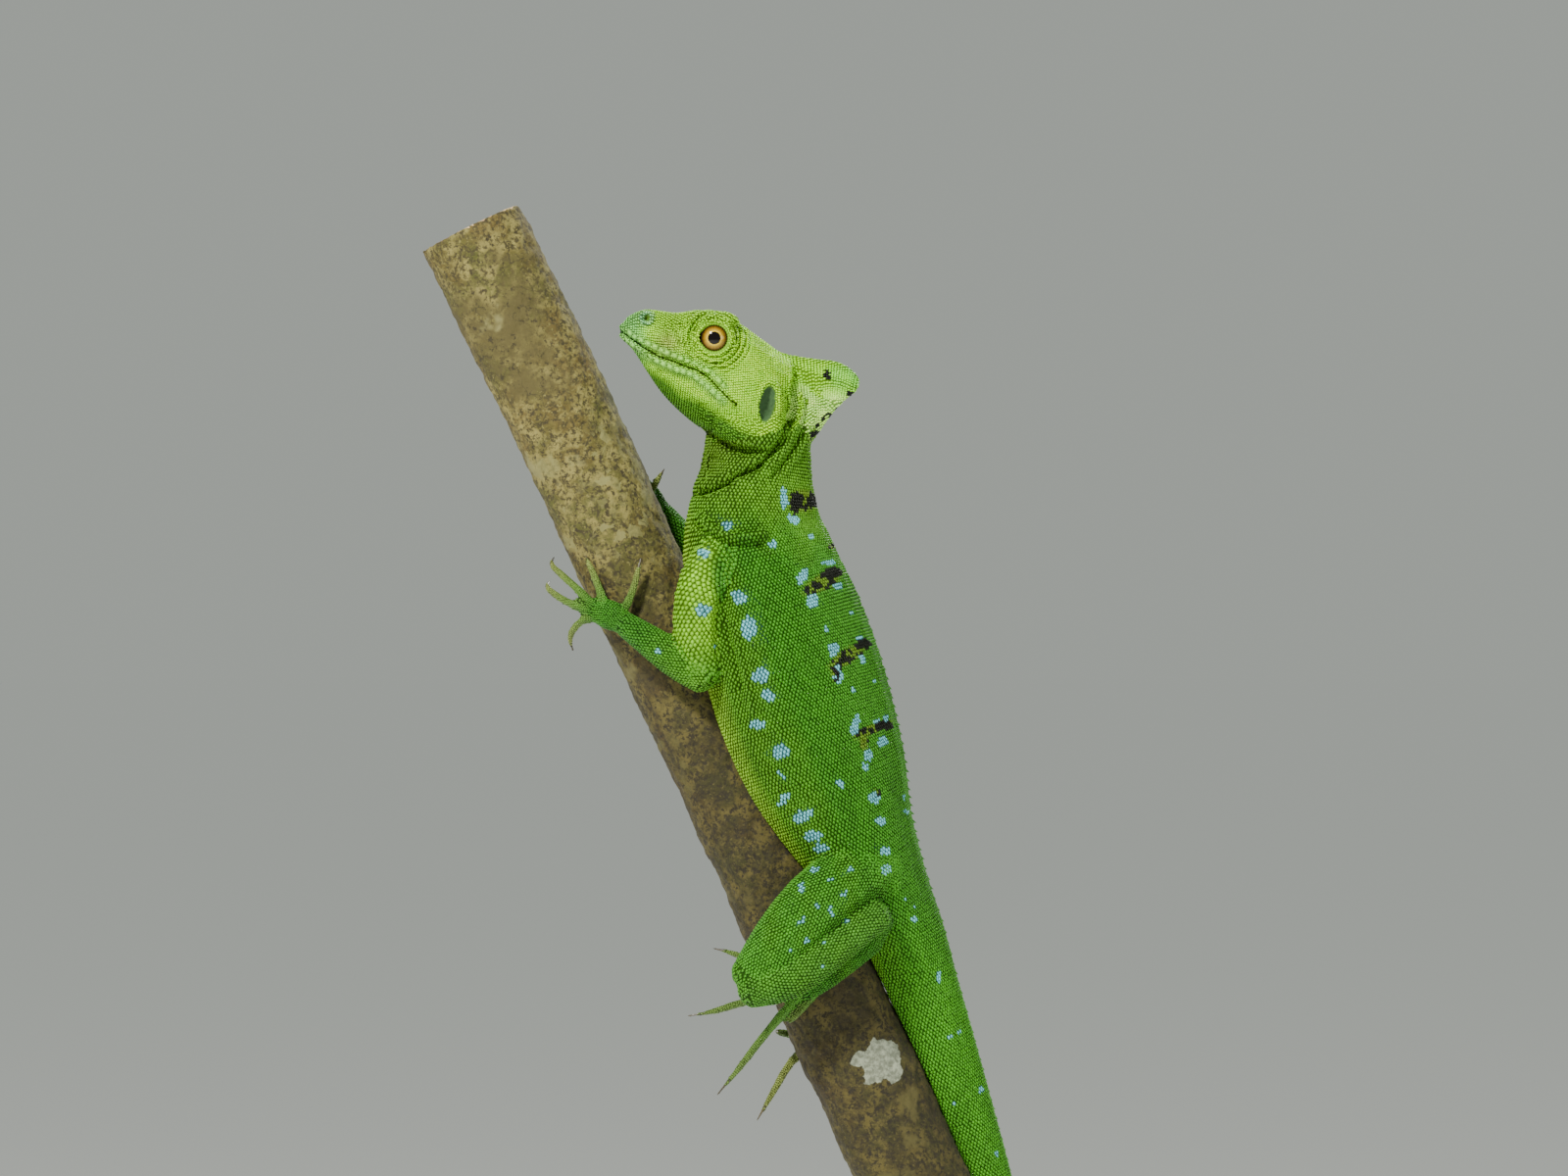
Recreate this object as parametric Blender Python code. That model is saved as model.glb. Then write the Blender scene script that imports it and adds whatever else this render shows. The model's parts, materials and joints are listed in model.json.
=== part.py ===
"""A life-size green basilisk clinging to a cut length of branch, on a plain display stand.

Sizes are real millimetres. The animal is set out on an upright plane: x runs across it, z is the
height above the datum level, y is the distance in front of (-) or behind (+) the branch's axis.
The datum lies LIFT above the floor, so that the hanging tail clears the base.
"""

import math
import random

import bmesh
import bpy
from mathutils import Vector

MM = 0.001
GAP = 0.3
WELD = 0.000002
SOLVERS = ("EXACT", "MANIFOLD")
BACK = Vector((0.0, 1.0, 0.0))

# Stand
BASE_LENGTH = 164.0
BASE_WIDTH = 112.0
BASE_THICK = 12.0
BASE_CORNER = 14.0
BASE_EDGE = 2.0
ROD_RADIUS = 4.0
ROD_SOCKET = 14.0
LIFT = 288.0

# Branch: its axis as (x, z), from the lower cut to the upper cut
BRANCH_RADIUS = 12.4
BRANCH_AXIS = (
    (24.0, -12.0), (18.5, 0.0), (-1.5, 44.0), (-22.0, 88.0),
    (-42.5, 132.0), (-62.5, 176.0), (-80.5, 212.5),
)
BRANCH_KNOTS = ((0.16, 210.0, 1.3), (0.47, 150.0, 0.9), (0.83, 60.0, 1.5), (0.93, 250.0, 1.0))
BRANCH_SIDES = 22
BRANCH_MOST = 1.2        # how far a knot may stand out, away from the animal
BRANCH_CLEAR = (0.2, 0.72)
BRANCH_RINGS = 17

# Trunk and tail: x, z, depth from back to belly, half width, y
TRUNK = (
    (-15.6, 168.5, 23.4, 7.2, -6.0),
    (-15.9, 161.0, 24.2, 8.2, -6.2),
    (-16.6, 153.0, 27.4, 9.4, -6.6),
    (-16.6, 144.0, 32.0, 11.2, -7.0),
    (-14.5, 134.0, 35.5, 12.8, -7.6),
    (-11.0, 123.0, 38.5, 13.6, -8.0),
    (-7.5, 111.0, 40.0, 14.2, -8.2),
    (-4.0, 100.0, 39.0, 14.4, -8.2),
    (0.0, 89.5, 36.0, 13.6, -7.8),
    (4.5, 79.0, 30.0, 12.0, -6.8),
    (9.0, 70.5, 24.5, 10.8, -5.2),
    (13.0, 63.0, 20.5, 9.4, -3.4),
    (17.0, 54.0, 18.4, 7.8, -1.6),
    (20.8, 42.0, 17.2, 6.6, 0.2),
    (24.8, 30.5, 15.8, 5.8, 2.0),
    (29.8, 17.0, 13.4, 5.0, 4.6),
    (36.4, -1.0, 10.0, 4.2, 8.6),
    (41.5, -20.0, 8.6, 3.7, 11.4),
    (45.0, -40.0, 7.6, 3.3, 12.6),
    (48.0, -62.0, 6.6, 2.9, 12.8),
    (49.6, -84.0, 5.8, 2.6, 12.0),
    (49.4, -106.0, 5.1, 2.3, 10.4),
    (47.0, -128.0, 4.5, 2.05, 8.2),
    (44.0, -150.0, 4.0, 1.85, 5.6),
    (41.4, -172.0, 3.5, 1.65, 3.0),
    (41.2, -194.0, 3.1, 1.45, 0.6),
    (44.6, -215.0, 2.7, 1.3, -1.6),
    (52.0, -234.0, 2.3, 1.1, -3.6),
    (62.5, -249.0, 2.0, 0.95, -5.4),
    (75.0, -260.0, 1.7, 0.8, -6.8),
    (88.0, -265.5, 1.4, 0.66, -8.0),
    (101.0, -264.0, 1.1, 0.52, -9.0),
    (110.0, -257.0, 0.9, 0.42, -9.6),
)
TRUNK_SIDES = 16
TRUNK_RINGS = 86
BACK_RIDGE = 0.34
BELLY_ROUND = 0.10

# Where the trunk is parted, as heights of its centre line
TRUNK_NAMES = ("neck", "torso", "tail_base", "tail_upper", "tail_lower", "tail_tip")
TRUNK_CUTS = (147.0, 59.0, -30.0, -117.0, -205.0)

# Saw-toothed keel along the back and tail
KEEL_PITCH = 3.8
KEEL_FROM = 159.0
KEEL_TO = -96.0
KEEL_CLEAR = 2.2
KEEL_HEIGHT = 1.05
KEEL_HALF_WIDTH = 0.7
KEEL_ROOT = 0.9
KEEL_SINK = 0.12
KEEL_SAMPLES = 420

# Head: top x, z; underside x, z; half width
HEAD_Y = -6.0
HEAD = (
    (-46.2, 190.8, -46.2, 189.4, 0.9),
    (-45.4, 192.3, -45.6, 187.6, 2.2),
    (-43.0, 193.8, -43.5, 184.9, 3.5),
    (-39.6, 194.3, -41.0, 181.0, 4.5),
    (-34.0, 193.6, -37.0, 175.2, 5.7),
    (-29.5, 194.2, -32.2, 170.4, 7.2),
    (-24.8, 194.0, -27.2, 166.8, 8.5),
    (-20.2, 191.6, -21.8, 164.4, 9.3),
    (-15.8, 188.4, -16.0, 163.0, 9.7),
    (-11.4, 185.2, -11.4, 164.6, 8.8),
    (-8.0, 182.6, -8.6, 168.6, 6.9),
)
HEAD_SIDES = 20
HEAD_RINGS = 20
HEAD_CORE = 0.46         # the share of a section that lies under its centre
EYE = (-25.4, 187.6)
EYE_RADIUS = 4.3
EYE_GRID = (16, 8)
EYE_OUT = 5.1
LID_RADIUS = 4.15
LID_THICK = 0.85
LID_OUT = 2.7
LID_SQUASH = 0.92
BROW = (-25.8, 191.7)
BROW_OUT = 5.1
BROW_RADII = (6.3, 2.6, 2.2)
CHEEK = (-17.0, 167.6)
CHEEK_OUT = 6.0
CHEEK_RADII = (8.4, 3.5, 4.8)
SNOUT = (-41.2, 191.6)
SNOUT_OUT = 2.0
SNOUT_RADII = (3.3, 2.0, 2.2)
NOSTRIL = (-40.6, 192.2)
NOSTRIL_OUT = 4.1
NOSTRIL_RADII = (0.75, 1.0, 0.6)
EAR = (-13.6, 173.2)
EAR_RADII = (1.8, 1.3, 3.6)
MOUTH = (
    (-46.6, 189.6), (-43.0, 187.2), (-39.5, 184.8), (-35.0, 182.4),
    (-31.0, 180.8), (-27.0, 179.4), (-24.0, 176.9), (-21.2, 174.0),
)
MOUTH_DEPTH = 0.7
MOUTH_WIDTH = 0.22
LIP_RADIUS = 0.75
LIP_SIDES = 5
CREST_RINGS = 14
CREST_SIDES = 16
CREST_THIN = 0.35        # how much the lobe narrows to its rim

# Crest lobe behind the head: top x, z; lower x, z; half thickness
CREST = (
    (-17.0, 188.0, -9.0, 166.0, 4.6),
    (-10.0, 184.8, -5.5, 163.0, 3.4),
    (-3.5, 183.6, -2.5, 166.0, 2.1),
    (2.0, 182.9, 0.8, 170.6, 1.3),
    (5.2, 181.2, 4.0, 174.0, 0.85),
    (7.0, 178.9, 6.4, 176.0, 0.6),
)

# Limbs: x, y, z, radius in the upright plane, radius front to back
UPPER_ARM_LEFT = (
    (-19.0, -11.5, 139.5, 6.6, 5.2), (-25.5, -15.2, 136.0, 6.6, 5.4), (-29.3, -17.2, 128.5, 5.2, 5.0),
    (-29.4, -17.4, 119.5, 4.8, 4.6), (-27.8, -17.0, 113.0, 4.2, 4.1),
)
FOREARM_LEFT = (
    (-27.8, -17.0, 112.6, 4.1, 4.0), (-33.5, -17.1, 116.0, 4.2, 3.9),
    (-40.0, -16.6, 120.4, 3.5, 3.2), (-45.6, -15.2, 124.2, 2.7, 2.5),
)
PALM_LEFT = (
    (-45.6, -14.9, 124.2, 2.7, 2.3), (-49.0, -13.2, 126.2, 3.5, 2.0), (-52.0, -11.6, 127.2, 2.6, 1.7),
)
FINGERS_LEFT = (
    ((-46.5, -14.2, 125.6), (-44.6, -14.0, 128.8), (-43.2, -13.8, 132.6),
     (-42.4, -13.9, 136.0), (-41.8, -13.5, 138.4)),
    ((-49.6, -12.9, 127.4), (-50.8, -12.2, 131.2), (-52.2, -11.4, 134.8),
     (-53.4, -10.6, 137.4), (-54.2, -9.4, 139.6)),
    ((-51.6, -11.7, 127.6), (-55.6, -9.4, 131.4), (-59.4, -6.4, 134.8),
     (-62.0, -3.0, 137.2), (-61.6, 0.4, 138.8)),
    ((-52.0, -11.6, 126.6), (-56.8, -9.4, 128.2), (-60.6, -6.0, 130.2),
     (-63.0, -2.4, 132.2), (-62.6, 1.0, 133.6)),
    ((-50.4, -12.4, 125.2), (-53.8, -11.0, 125.2), (-56.4, -8.4, 123.4),
     (-57.8, -5.8, 120.6), (-57.2, -4.0, 118.2)),
)
UPPER_ARM_RIGHT = (
    (-19.0, -4.0, 139.5, 6.0, 5.0), (-22.0, 3.0, 137.5, 5.6, 5.0),
    (-24.0, 9.0, 135.0, 4.6, 4.4), (-25.0, 12.4, 133.0, 4.0, 4.0),
)
FOREARM_RIGHT = (
    (-25.0, 12.6, 132.6, 3.9, 3.8), (-29.0, 12.6, 138.0, 4.0, 3.8),
    (-34.0, 11.8, 144.4, 3.4, 3.2), (-38.0, 10.8, 149.4, 2.7, 2.5),
)
PALM_RIGHT = (
    (-38.0, 10.8, 149.4, 2.7, 2.3), (-41.2, 11.2, 153.2, 3.3, 2.0), (-44.0, 12.2, 156.0, 2.6, 1.7),
)
FINGERS_RIGHT = (
    ((-42.0, 10.6, 150.4), (-40.6, 9.2, 152.8), (-39.2, 7.9, 155.0),
     (-38.0, 6.9, 157.0), (-37.0, 6.2, 158.6)),
    ((-43.6, 12.2, 156.0), (-45.8, 12.8, 161.0), (-48.0, 12.8, 165.6),
     (-49.4, 12.6, 169.4), (-50.6, 11.8, 171.8)),
    ((-44.4, 12.6, 156.4), (-50.0, 14.0, 161.8), (-55.0, 14.2, 167.0),
     (-58.6, 13.9, 171.0), (-61.0, 13.0, 173.4)),
    ((-44.4, 12.8, 155.6), (-52.0, 14.2, 159.6), (-58.6, 13.9, 163.4),
     (-63.6, 12.4, 166.2), (-66.6, 10.4, 167.2)),
    ((-43.4, 12.6, 154.2), (-48.6, 13.9, 152.6), (-53.4, 14.0, 153.0),
     (-57.4, 13.2, 154.6), (-59.8, 11.8, 155.4)),
)
THIGH_LEFT = (
    (12.5, -7.5, 71.0, 7.6, 5.6), (4.5, -14.0, 66.8, 8.3, 6.4), (-3.5, -18.6, 60.4, 8.3, 6.3),
    (-11.0, -20.2, 52.6, 7.0, 5.7), (-17.2, -19.8, 45.6, 5.0, 4.8),
)
SHANK_LEFT = (
    (-17.0, -20.6, 43.2, 4.3, 4.3), (-9.0, -21.4, 45.2, 4.6, 4.3),
    (0.0, -20.4, 51.2, 4.3, 4.0), (7.6, -18.0, 57.0, 3.8, 3.5), (11.2, -15.8, 59.2, 3.5, 3.2),
)
FOOT_LEFT = (
    (11.6, -13.8, 58.4, 3.2, 2.9), (10.0, -12.6, 53.8, 3.0, 2.6), (5.4, -12.8, 49.8, 2.8, 2.2),
    (0.0, -14.6, 46.0, 3.0, 2.1), (-5.6, -14.4, 42.8, 3.2, 1.9),
)
TOES_LEFT = (
    ((-3.6, -14.4, 45.0), (-7.0, -14.2, 48.4), (-9.6, -13.8, 51.6), (-11.4, -13.2, 54.0)),
    ((-5.0, -14.4, 43.8), (-11.4, -13.4, 46.4), (-17.0, -11.2, 48.8),
     (-21.8, -8.8, 50.6), (-25.4, -7.4, 51.4)),
    ((-5.8, -14.3, 42.8), (-13.0, -13.2, 41.2), (-20.0, -11.8, 39.4),
     (-25.6, -10.8, 37.6), (-31.0, -10.2, 36.6)),
    ((-6.0, -14.2, 42.2), (-10.6, -12.4, 36.8), (-15.4, -9.8, 30.8),
     (-20.2, -8.2, 24.4), (-24.6, -7.6, 19.0)),
    ((-1.4, -14.6, 44.6), (-4.4, -13.4, 40.2), (-7.2, -12.4, 36.8), (-9.2, -11.0, 34.6)),
)
THIGH_RIGHT = (
    (12.0, -2.0, 70.5, 7.4, 5.4), (6.4, 8.0, 65.2, 7.8, 5.8), (-0.6, 16.6, 59.0, 7.4, 5.8),
    (-7.4, 19.6, 53.0, 6.2, 5.3), (-12.6, 19.8, 48.4, 4.7, 4.5),
)
SHANK_RIGHT = (
    (-12.4, 20.0, 46.0, 4.2, 4.2), (-6.0, 19.6, 42.4, 4.4, 4.1),
    (2.0, 18.6, 38.0, 4.0, 3.7), (9.4, 16.8, 35.0, 3.3, 3.0),
)
FOOT_RIGHT = (
    (9.8, 16.4, 34.6, 3.1, 2.8), (7.6, 15.4, 31.2, 2.9, 2.4), (3.4, 14.7, 29.2, 2.9, 2.1),
    (-1.2, 14.5, 28.0, 3.1, 1.9),
)
TOES_RIGHT = (
    ((0.4, 14.7, 29.6), (-0.4, 14.7, 34.0), (-2.4, 14.5, 37.4), (-4.2, 13.9, 39.8)),
    ((-0.8, 14.5, 29.0), (-4.4, 13.7, 33.6), (-7.4, 12.0, 37.2),
     (-9.8, 10.6, 40.0), (-11.4, 8.8, 41.8)),
    ((-1.4, 14.4, 28.4), (-5.8, 12.8, 30.2), (-9.2, 9.0, 31.4), (-11.2, 4.6, 32.0), (-11.4, 1.2, 32.6)),
    ((-1.4, 14.4, 27.6), (-5.6, 12.6, 27.0), (-8.8, 9.0, 24.2), (-12.2, 6.4, 18.6), (-15.8, 5.0, 12.4)),
    ((1.4, 14.8, 28.2), (1.4, 14.3, 24.4), (0.4, 13.8, 20.8), (-0.8, 12.8, 18.4)),
)
FINGER_RADIUS = 1.25
TOE_RADIUS = 1.35
DIGIT_SIDES = 5
DIGIT_TURNS = (60,)
PALM_GRID = (9, 5)
PALM_TURNS = (30, 65)
CLAW_SHARE = 0.2
ARM_NAMES = ("upper_arm", "forearm", "hand")
LEG_NAMES = ("thigh", "shank", "foot")
LIMB_SIDES = 11
LIMB_RINGS = 9

COLOURS = {
    "skin": ((0.12, 0.36, 0.03), 0.5, 0.0),
    "skin_head": ((0.30, 0.50, 0.07), 0.5, 0.0),
    "skin_limb": ((0.16, 0.42, 0.06), 0.5, 0.0),
    "eye": ((0.72, 0.40, 0.05), 0.1, 0.0),
    "bark": ((0.30, 0.24, 0.15), 0.9, 0.0),
    "stand_wood": ((0.05, 0.04, 0.035), 0.4, 0.0),
    "stand_metal": ((0.35, 0.35, 0.36), 0.3, 1.0),
}


def clear_scene():
    for item in list(bpy.data.objects):
        bpy.data.objects.remove(item)


def new_collection(name):
    made = bpy.data.collections.new(name)
    bpy.context.scene.collection.children.link(made)
    return made


def material(name):
    found = bpy.data.materials.get(name)
    if found:
        return found
    colour, roughness, metallic = COLOURS[name]
    made = bpy.data.materials.new(name)
    made.use_nodes = True
    shader = made.node_tree.nodes["Principled BSDF"]
    shader.inputs["Base Color"].default_value = (*colour, 1.0)
    shader.inputs["Roughness"].default_value = roughness
    shader.inputs["Metallic"].default_value = metallic
    return made


def placed(x, y, z):
    """A point set out in millimetres, in metres above the floor."""
    return Vector((x, y, z + LIFT)) * MM


def spline(rows, count):
    """count rows along a smooth curve through rows, which share one length."""
    rows = [Vector(row) for row in rows]
    ends = [2 * rows[0] - rows[1]] + rows + [2 * rows[-1] - rows[-2]]
    steps = [(b - a).length for a, b in zip(rows, rows[1:])]
    total = sum(steps)
    made = []
    for i in range(count):
        reach = total * i / (count - 1)
        span = 0
        while span < len(steps) - 1 and reach > steps[span]:
            reach -= steps[span]
            span += 1
        t = min(1.0, reach / steps[span])
        a, b, c, d = ends[span:span + 4]
        made.append(0.5 * (2 * b + (c - a) * t + (2 * a - 5 * b + 4 * c - d) * t * t
                           + (3 * b - a - 3 * c + d) * t * t * t))
    return made


def mesh_object(name, build, collection):
    """A mesh object whose mesh is made by build(bm)."""
    bm = bmesh.new()
    build(bm)
    bm.normal_update()
    bmesh.ops.recalc_face_normals(bm, faces=bm.faces[:])
    mesh = bpy.data.meshes.new(name)
    bm.to_mesh(mesh)
    bm.free()
    made = bpy.data.objects.new(name, mesh)
    collection.objects.link(made)
    return made


def as_cutter(item):
    """Marks a body as a cutter: it shows as wires and isn't rendered."""
    item.hide_render = True
    item.display_type = "WIRE"
    return item


def loft(name, rings, collection):
    """One closed body through rings of points, with a fan over each end."""
    def build(bm):
        grid = [[bm.verts.new(point) for point in ring] for ring in rings]
        for low, high in zip(grid, grid[1:]):
            for i in range(len(low)):
                j = (i + 1) % len(low)
                bm.faces.new((low[i], low[j], high[j], high[i]))
        for ring in (grid[0], grid[-1]):
            middle = bm.verts.new(sum((v.co for v in ring), Vector()) / len(ring))
            for i, vert in enumerate(ring):
                bm.faces.new((vert, ring[(i + 1) % len(ring)], middle))
    return mesh_object(name, build, collection)


def section(centre, up, side, top, bottom, half_width, sides, shape):
    """An upright section; shape(angle) narrows its width, and angle 0 is its top."""
    ring = []
    for i in range(sides):
        angle = 2 * math.pi * i / sides
        rise = math.cos(angle) * (top if math.cos(angle) > 0 else bottom)
        ring.append(centre + up * rise + side * (math.sin(angle) * half_width * shape(angle)))
    return ring


def tube(name, rows, sides, count, collection, rounding=0.75, turns=(20, 50, 78)):
    """A limb through rows of x, y, z and two radii, with rounded ends."""
    rows = spline(rows, count)
    points = [placed(*row[:3]) for row in rows]
    rings = []
    side = None
    for i, row in enumerate(rows):
        ahead = (points[min(i + 1, count - 1)] - points[max(i - 1, 0)]).normalized()
        guide = BACK if side is None else side
        side = (guide - ahead * guide.dot(ahead)).normalized()
        across = ahead.cross(side)
        rings.append((points[i], ahead, across, side, row[3] * MM, row[4] * MM))
    made = []
    for end, order in ((0, turns[::-1]), (count - 1, turns)):
        point, ahead, across, side, wide, deep = rings[end]
        cap = []
        for turn in order:
            shrink = math.cos(math.radians(turn))
            push = math.sin(math.radians(turn)) * min(wide, deep) * rounding * (-1 if end == 0 else 1)
            cap.append((point + ahead * push, ahead, across, side, wide * shrink, deep * shrink))
        made = cap + rings if end == 0 else made + cap
    grid = []
    for point, ahead, across, side, wide, deep in made:
        grid.append([point + across * (math.cos(2 * math.pi * i / sides) * wide)
                     + side * (math.sin(2 * math.pi * i / sides) * deep) for i in range(sides)])
    return loft(name, grid, collection)


def evaluated_mesh(item):
    bpy.context.view_layer.update()
    graph = bpy.context.evaluated_depsgraph_get()
    return bpy.data.meshes.new_from_object(item.evaluated_get(graph))


def welded(mesh):
    """The mesh in triangles, with touching points as one and without slivers folded onto each other."""
    bm = bmesh.new()
    bm.from_mesh(mesh)
    bmesh.ops.remove_doubles(bm, verts=bm.verts[:], dist=WELD)
    bmesh.ops.dissolve_degenerate(bm, edges=bm.edges[:], dist=WELD)
    bmesh.ops.triangulate(bm, faces=bm.faces[:])
    corners = {}
    for face in bm.faces:
        corners.setdefault(frozenset(face.verts), []).append(face)
    folded = [face for faces in corners.values() if len(faces) > 1 for face in faces]
    bmesh.ops.delete(bm, geom=folded, context="FACES")
    bmesh.ops.delete(bm, geom=[edge for edge in bm.edges if not edge.link_faces], context="EDGES")
    return bm


def is_closed(mesh):
    """Whether every edge of the welded mesh lies between two faces."""
    bm = welded(mesh)
    closed = len(bm.faces) > 0 and all(len(edge.link_faces) == 2 for edge in bm.edges)
    bm.free()
    return closed


def combine(item, operation, other):
    """A Boolean of a body with another body or a collection, by the first solver that leaves it closed."""
    before = item.data
    for solver in SOLVERS:
        item.data = before
        modifier = item.modifiers.new("combine", "BOOLEAN")
        modifier.operation = operation
        modifier.solver = solver
        if isinstance(other, bpy.types.Collection):
            modifier.operand_type = "COLLECTION"
            modifier.collection = other
        else:
            modifier.object = other
        mesh = evaluated_mesh(item)
        item.modifiers.clear()
        item.data = mesh
        if is_closed(mesh):
            break


def largest_body(item):
    """Keeps the object's largest closed surface."""
    bm = welded(item.data)
    groups, seen = [], set()
    for vert in bm.verts:
        if vert in seen:
            continue
        group, todo = [], [vert]
        seen.add(vert)
        while todo:
            here = todo.pop()
            group.append(here)
            for edge in here.link_edges:
                other = edge.other_vert(here)
                if other not in seen:
                    seen.add(other)
                    todo.append(other)
        groups.append(group)

    def reach(group):
        low = Vector(map(min, zip(*(v.co for v in group))))
        high = Vector(map(max, zip(*(v.co for v in group))))
        return (high - low).length
    groups.sort(key=reach)
    for group in groups[:-1]:
        bmesh.ops.delete(bm, geom=group, context="VERTS")
    bm.to_mesh(item.data)
    bm.free()


def joined(name, pieces, collection):
    """One closed body from overlapping closed pieces."""
    group = bpy.data.collections.new(name + "_pieces")
    bpy.context.scene.collection.children.link(group)
    first, rest = pieces[0], pieces[1:]
    for piece in rest:
        for old in list(piece.users_collection):
            old.objects.unlink(piece)
        group.objects.link(piece)
    if rest:
        combine(first, "UNION", group)
    for piece in list(group.objects):
        bpy.data.objects.remove(piece)
    bpy.data.collections.remove(group)
    first.name = name
    largest_body(first)
    for old in list(first.users_collection):
        old.objects.unlink(first)
    collection.objects.link(first)
    return first


def swollen(item, collection, by=GAP):
    """A copy of a body, larger by the touching gap all round: a cutter."""
    bm = bmesh.new()
    bm.from_mesh(evaluated_mesh(item))
    bmesh.ops.remove_doubles(bm, verts=bm.verts[:], dist=0.00001)
    bmesh.ops.recalc_face_normals(bm, faces=bm.faces[:])
    bm.normal_update()
    for vert in bm.verts:
        vert.co += vert.normal * (by * MM)
    mesh = bpy.data.meshes.new(item.name + "_cutter")
    bm.to_mesh(mesh)
    bm.free()
    made = bpy.data.objects.new(item.name + "_cutter", mesh)
    collection.objects.link(made)
    return as_cutter(made)


def cut(item, cutters):
    """Takes each cutter out of the body, and keeps its largest part."""
    for cutter in cutters:
        combine(item, "DIFFERENCE", cutter)
    largest_body(item)
    return item


def dress(item, material_name):
    item.data.materials.clear()
    item.data.materials.append(material(material_name))
    item.data.shade_smooth()
    item.data.set_sharp_from_angle(angle=math.radians(50))
    return item


def make_branch(collection):
    """A rough, slightly knotty length, cut square at both ends."""
    draw = random.Random(7)
    lumps = [(draw.uniform(0, 6.28), draw.randint(2, 5), draw.uniform(0.1, 0.3)) for _ in range(7)]
    centres = spline([(x, 0.0, z) for x, z in BRANCH_AXIS], BRANCH_RINGS)
    rings = []
    for i, centre in enumerate(centres):
        share = i / (BRANCH_RINGS - 1)
        ahead = (centres[min(i + 1, BRANCH_RINGS - 1)] - centres[max(i - 1, 0)]).normalized()
        across = BACK.cross(ahead)
        ring = []
        for k in range(BRANCH_SIDES):
            angle = 2 * math.pi * k / BRANCH_SIDES
            radius = BRANCH_RADIUS - 0.5
            for phase, waves, size in lumps:
                radius += size * math.sin(waves * angle + phase + 9 * share * (waves - 3))
            for place, turn, size in BRANCH_KNOTS:
                away = math.radians(turn) - angle
                away = math.atan2(math.sin(away), math.cos(away))
                radius += size * math.exp(-((share - place) / 0.03) ** 2 - (away / 0.5) ** 2)
            most = 0.0 if BRANCH_CLEAR[0] < share < BRANCH_CLEAR[1] else BRANCH_MOST
            radius = min(radius, BRANCH_RADIUS + most)
            offset = across * math.cos(angle) - BACK * math.sin(angle)
            ring.append(placed(*(centre + offset * radius)))
        rings.append(ring)
    return loft("perch_branch", rings, collection)


def trunk_frame(rows, i):
    """The centre, the way to the back, the way across and the way on to the tail, at one row."""
    centre = placed(rows[i][0], rows[i][4], rows[i][1])
    before, after = rows[max(i - 1, 0)], rows[min(i + 1, len(rows) - 1)]
    ahead = (placed(after[0], after[4], after[1]) - placed(before[0], before[4], before[1])).normalized()
    side = (BACK - ahead * BACK.dot(ahead)).normalized()
    return centre, ahead.cross(side), side, ahead


def trunk_shape(angle):
    """How much a trunk section narrows: to a ridge above, and a little fuller below."""
    rise = math.cos(angle)
    return 1 - BACK_RIDGE * max(0.0, rise) ** 1.5 + BELLY_ROUND * max(0.0, -rise)


def trunk_ring(rows, i, shift=0.0):
    """The section at one row, moved along the trunk by shift millimetres."""
    centre, up, side, ahead = trunk_frame(rows, i)
    centre += ahead * (shift * MM)
    half = rows[i][2] * MM / 2
    return section(centre, up, side, half, half, rows[i][3] * MM, TRUNK_SIDES, trunk_shape)


def row_at(rows, height):
    return min(range(len(rows)), key=lambda i: abs(rows[i][1] - height))


def trunk_length(name, rows, first, last, collection):
    """One length of neck, torso or tail between two rows, half a gap short at each parted end."""
    rings = []
    for i in range(first, last + 1):
        shift = 0.0
        if i == first and first > 0:
            shift = GAP / 2
        if i == last and last < len(rows) - 1:
            shift = -GAP / 2
        rings.append(trunk_ring(rows, i, shift))
    return loft(name, rings, collection)


def keel_tooth(name, root, up, along, side, height, collection):
    """One low pointed scale that leans towards the tail, sunk into the back."""
    half_width = KEEL_HALF_WIDTH * min(1.0, height / KEEL_HEIGHT + 0.2) * MM
    length = KEEL_PITCH * 0.42 * MM
    base = root - up * (KEEL_ROOT * MM)
    tip = root + up * (height * MM) + along * (length * 0.75)

    def build(bm):
        corners = (-along * length, side * half_width, along * length, -side * half_width)
        ring = [base + corner for corner in corners]
        high = [point + up * (KEEL_ROOT * MM) for point in ring]
        low_verts = [bm.verts.new(p) for p in ring]
        high_verts = [bm.verts.new(p) for p in high]
        peak = bm.verts.new(tip)
        bm.faces.new(low_verts)
        for i in range(4):
            j = (i + 1) % 4
            bm.faces.new((low_verts[i], low_verts[j], high_verts[j], high_verts[i]))
            bm.faces.new((high_verts[i], high_verts[j], peak))
    return mesh_object(name, build, collection)


def keel_teeth(top, bottom, collection):
    """Teeth at an even pitch along the back line between two heights, smaller down the tail."""
    rows = spline([(x, z, depth, wide, y) for x, z, depth, wide, y in TRUNK], KEEL_SAMPLES)
    teeth = []
    travelled = KEEL_PITCH
    last = None
    for i, row in enumerate(rows):
        centre, up, side, ahead = trunk_frame(rows, i)
        here = centre + up * (row[2] * MM / 2)
        if last is not None:
            travelled += (here - last).length / MM
        last = here
        if travelled < KEEL_PITCH or not KEEL_TO < row[1] < KEEL_FROM:
            continue
        travelled = 0.0
        if bottom + KEEL_CLEAR < row[1] < top - KEEL_CLEAR:
            height = KEEL_HEIGHT * min(1.0, max(0.55, 1.0 + row[1] / 220.0))
            root = here - up * (KEEL_SINK * MM)
            teeth.append(keel_tooth("tooth", root, up, ahead, side, height, collection))
    return teeth


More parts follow.
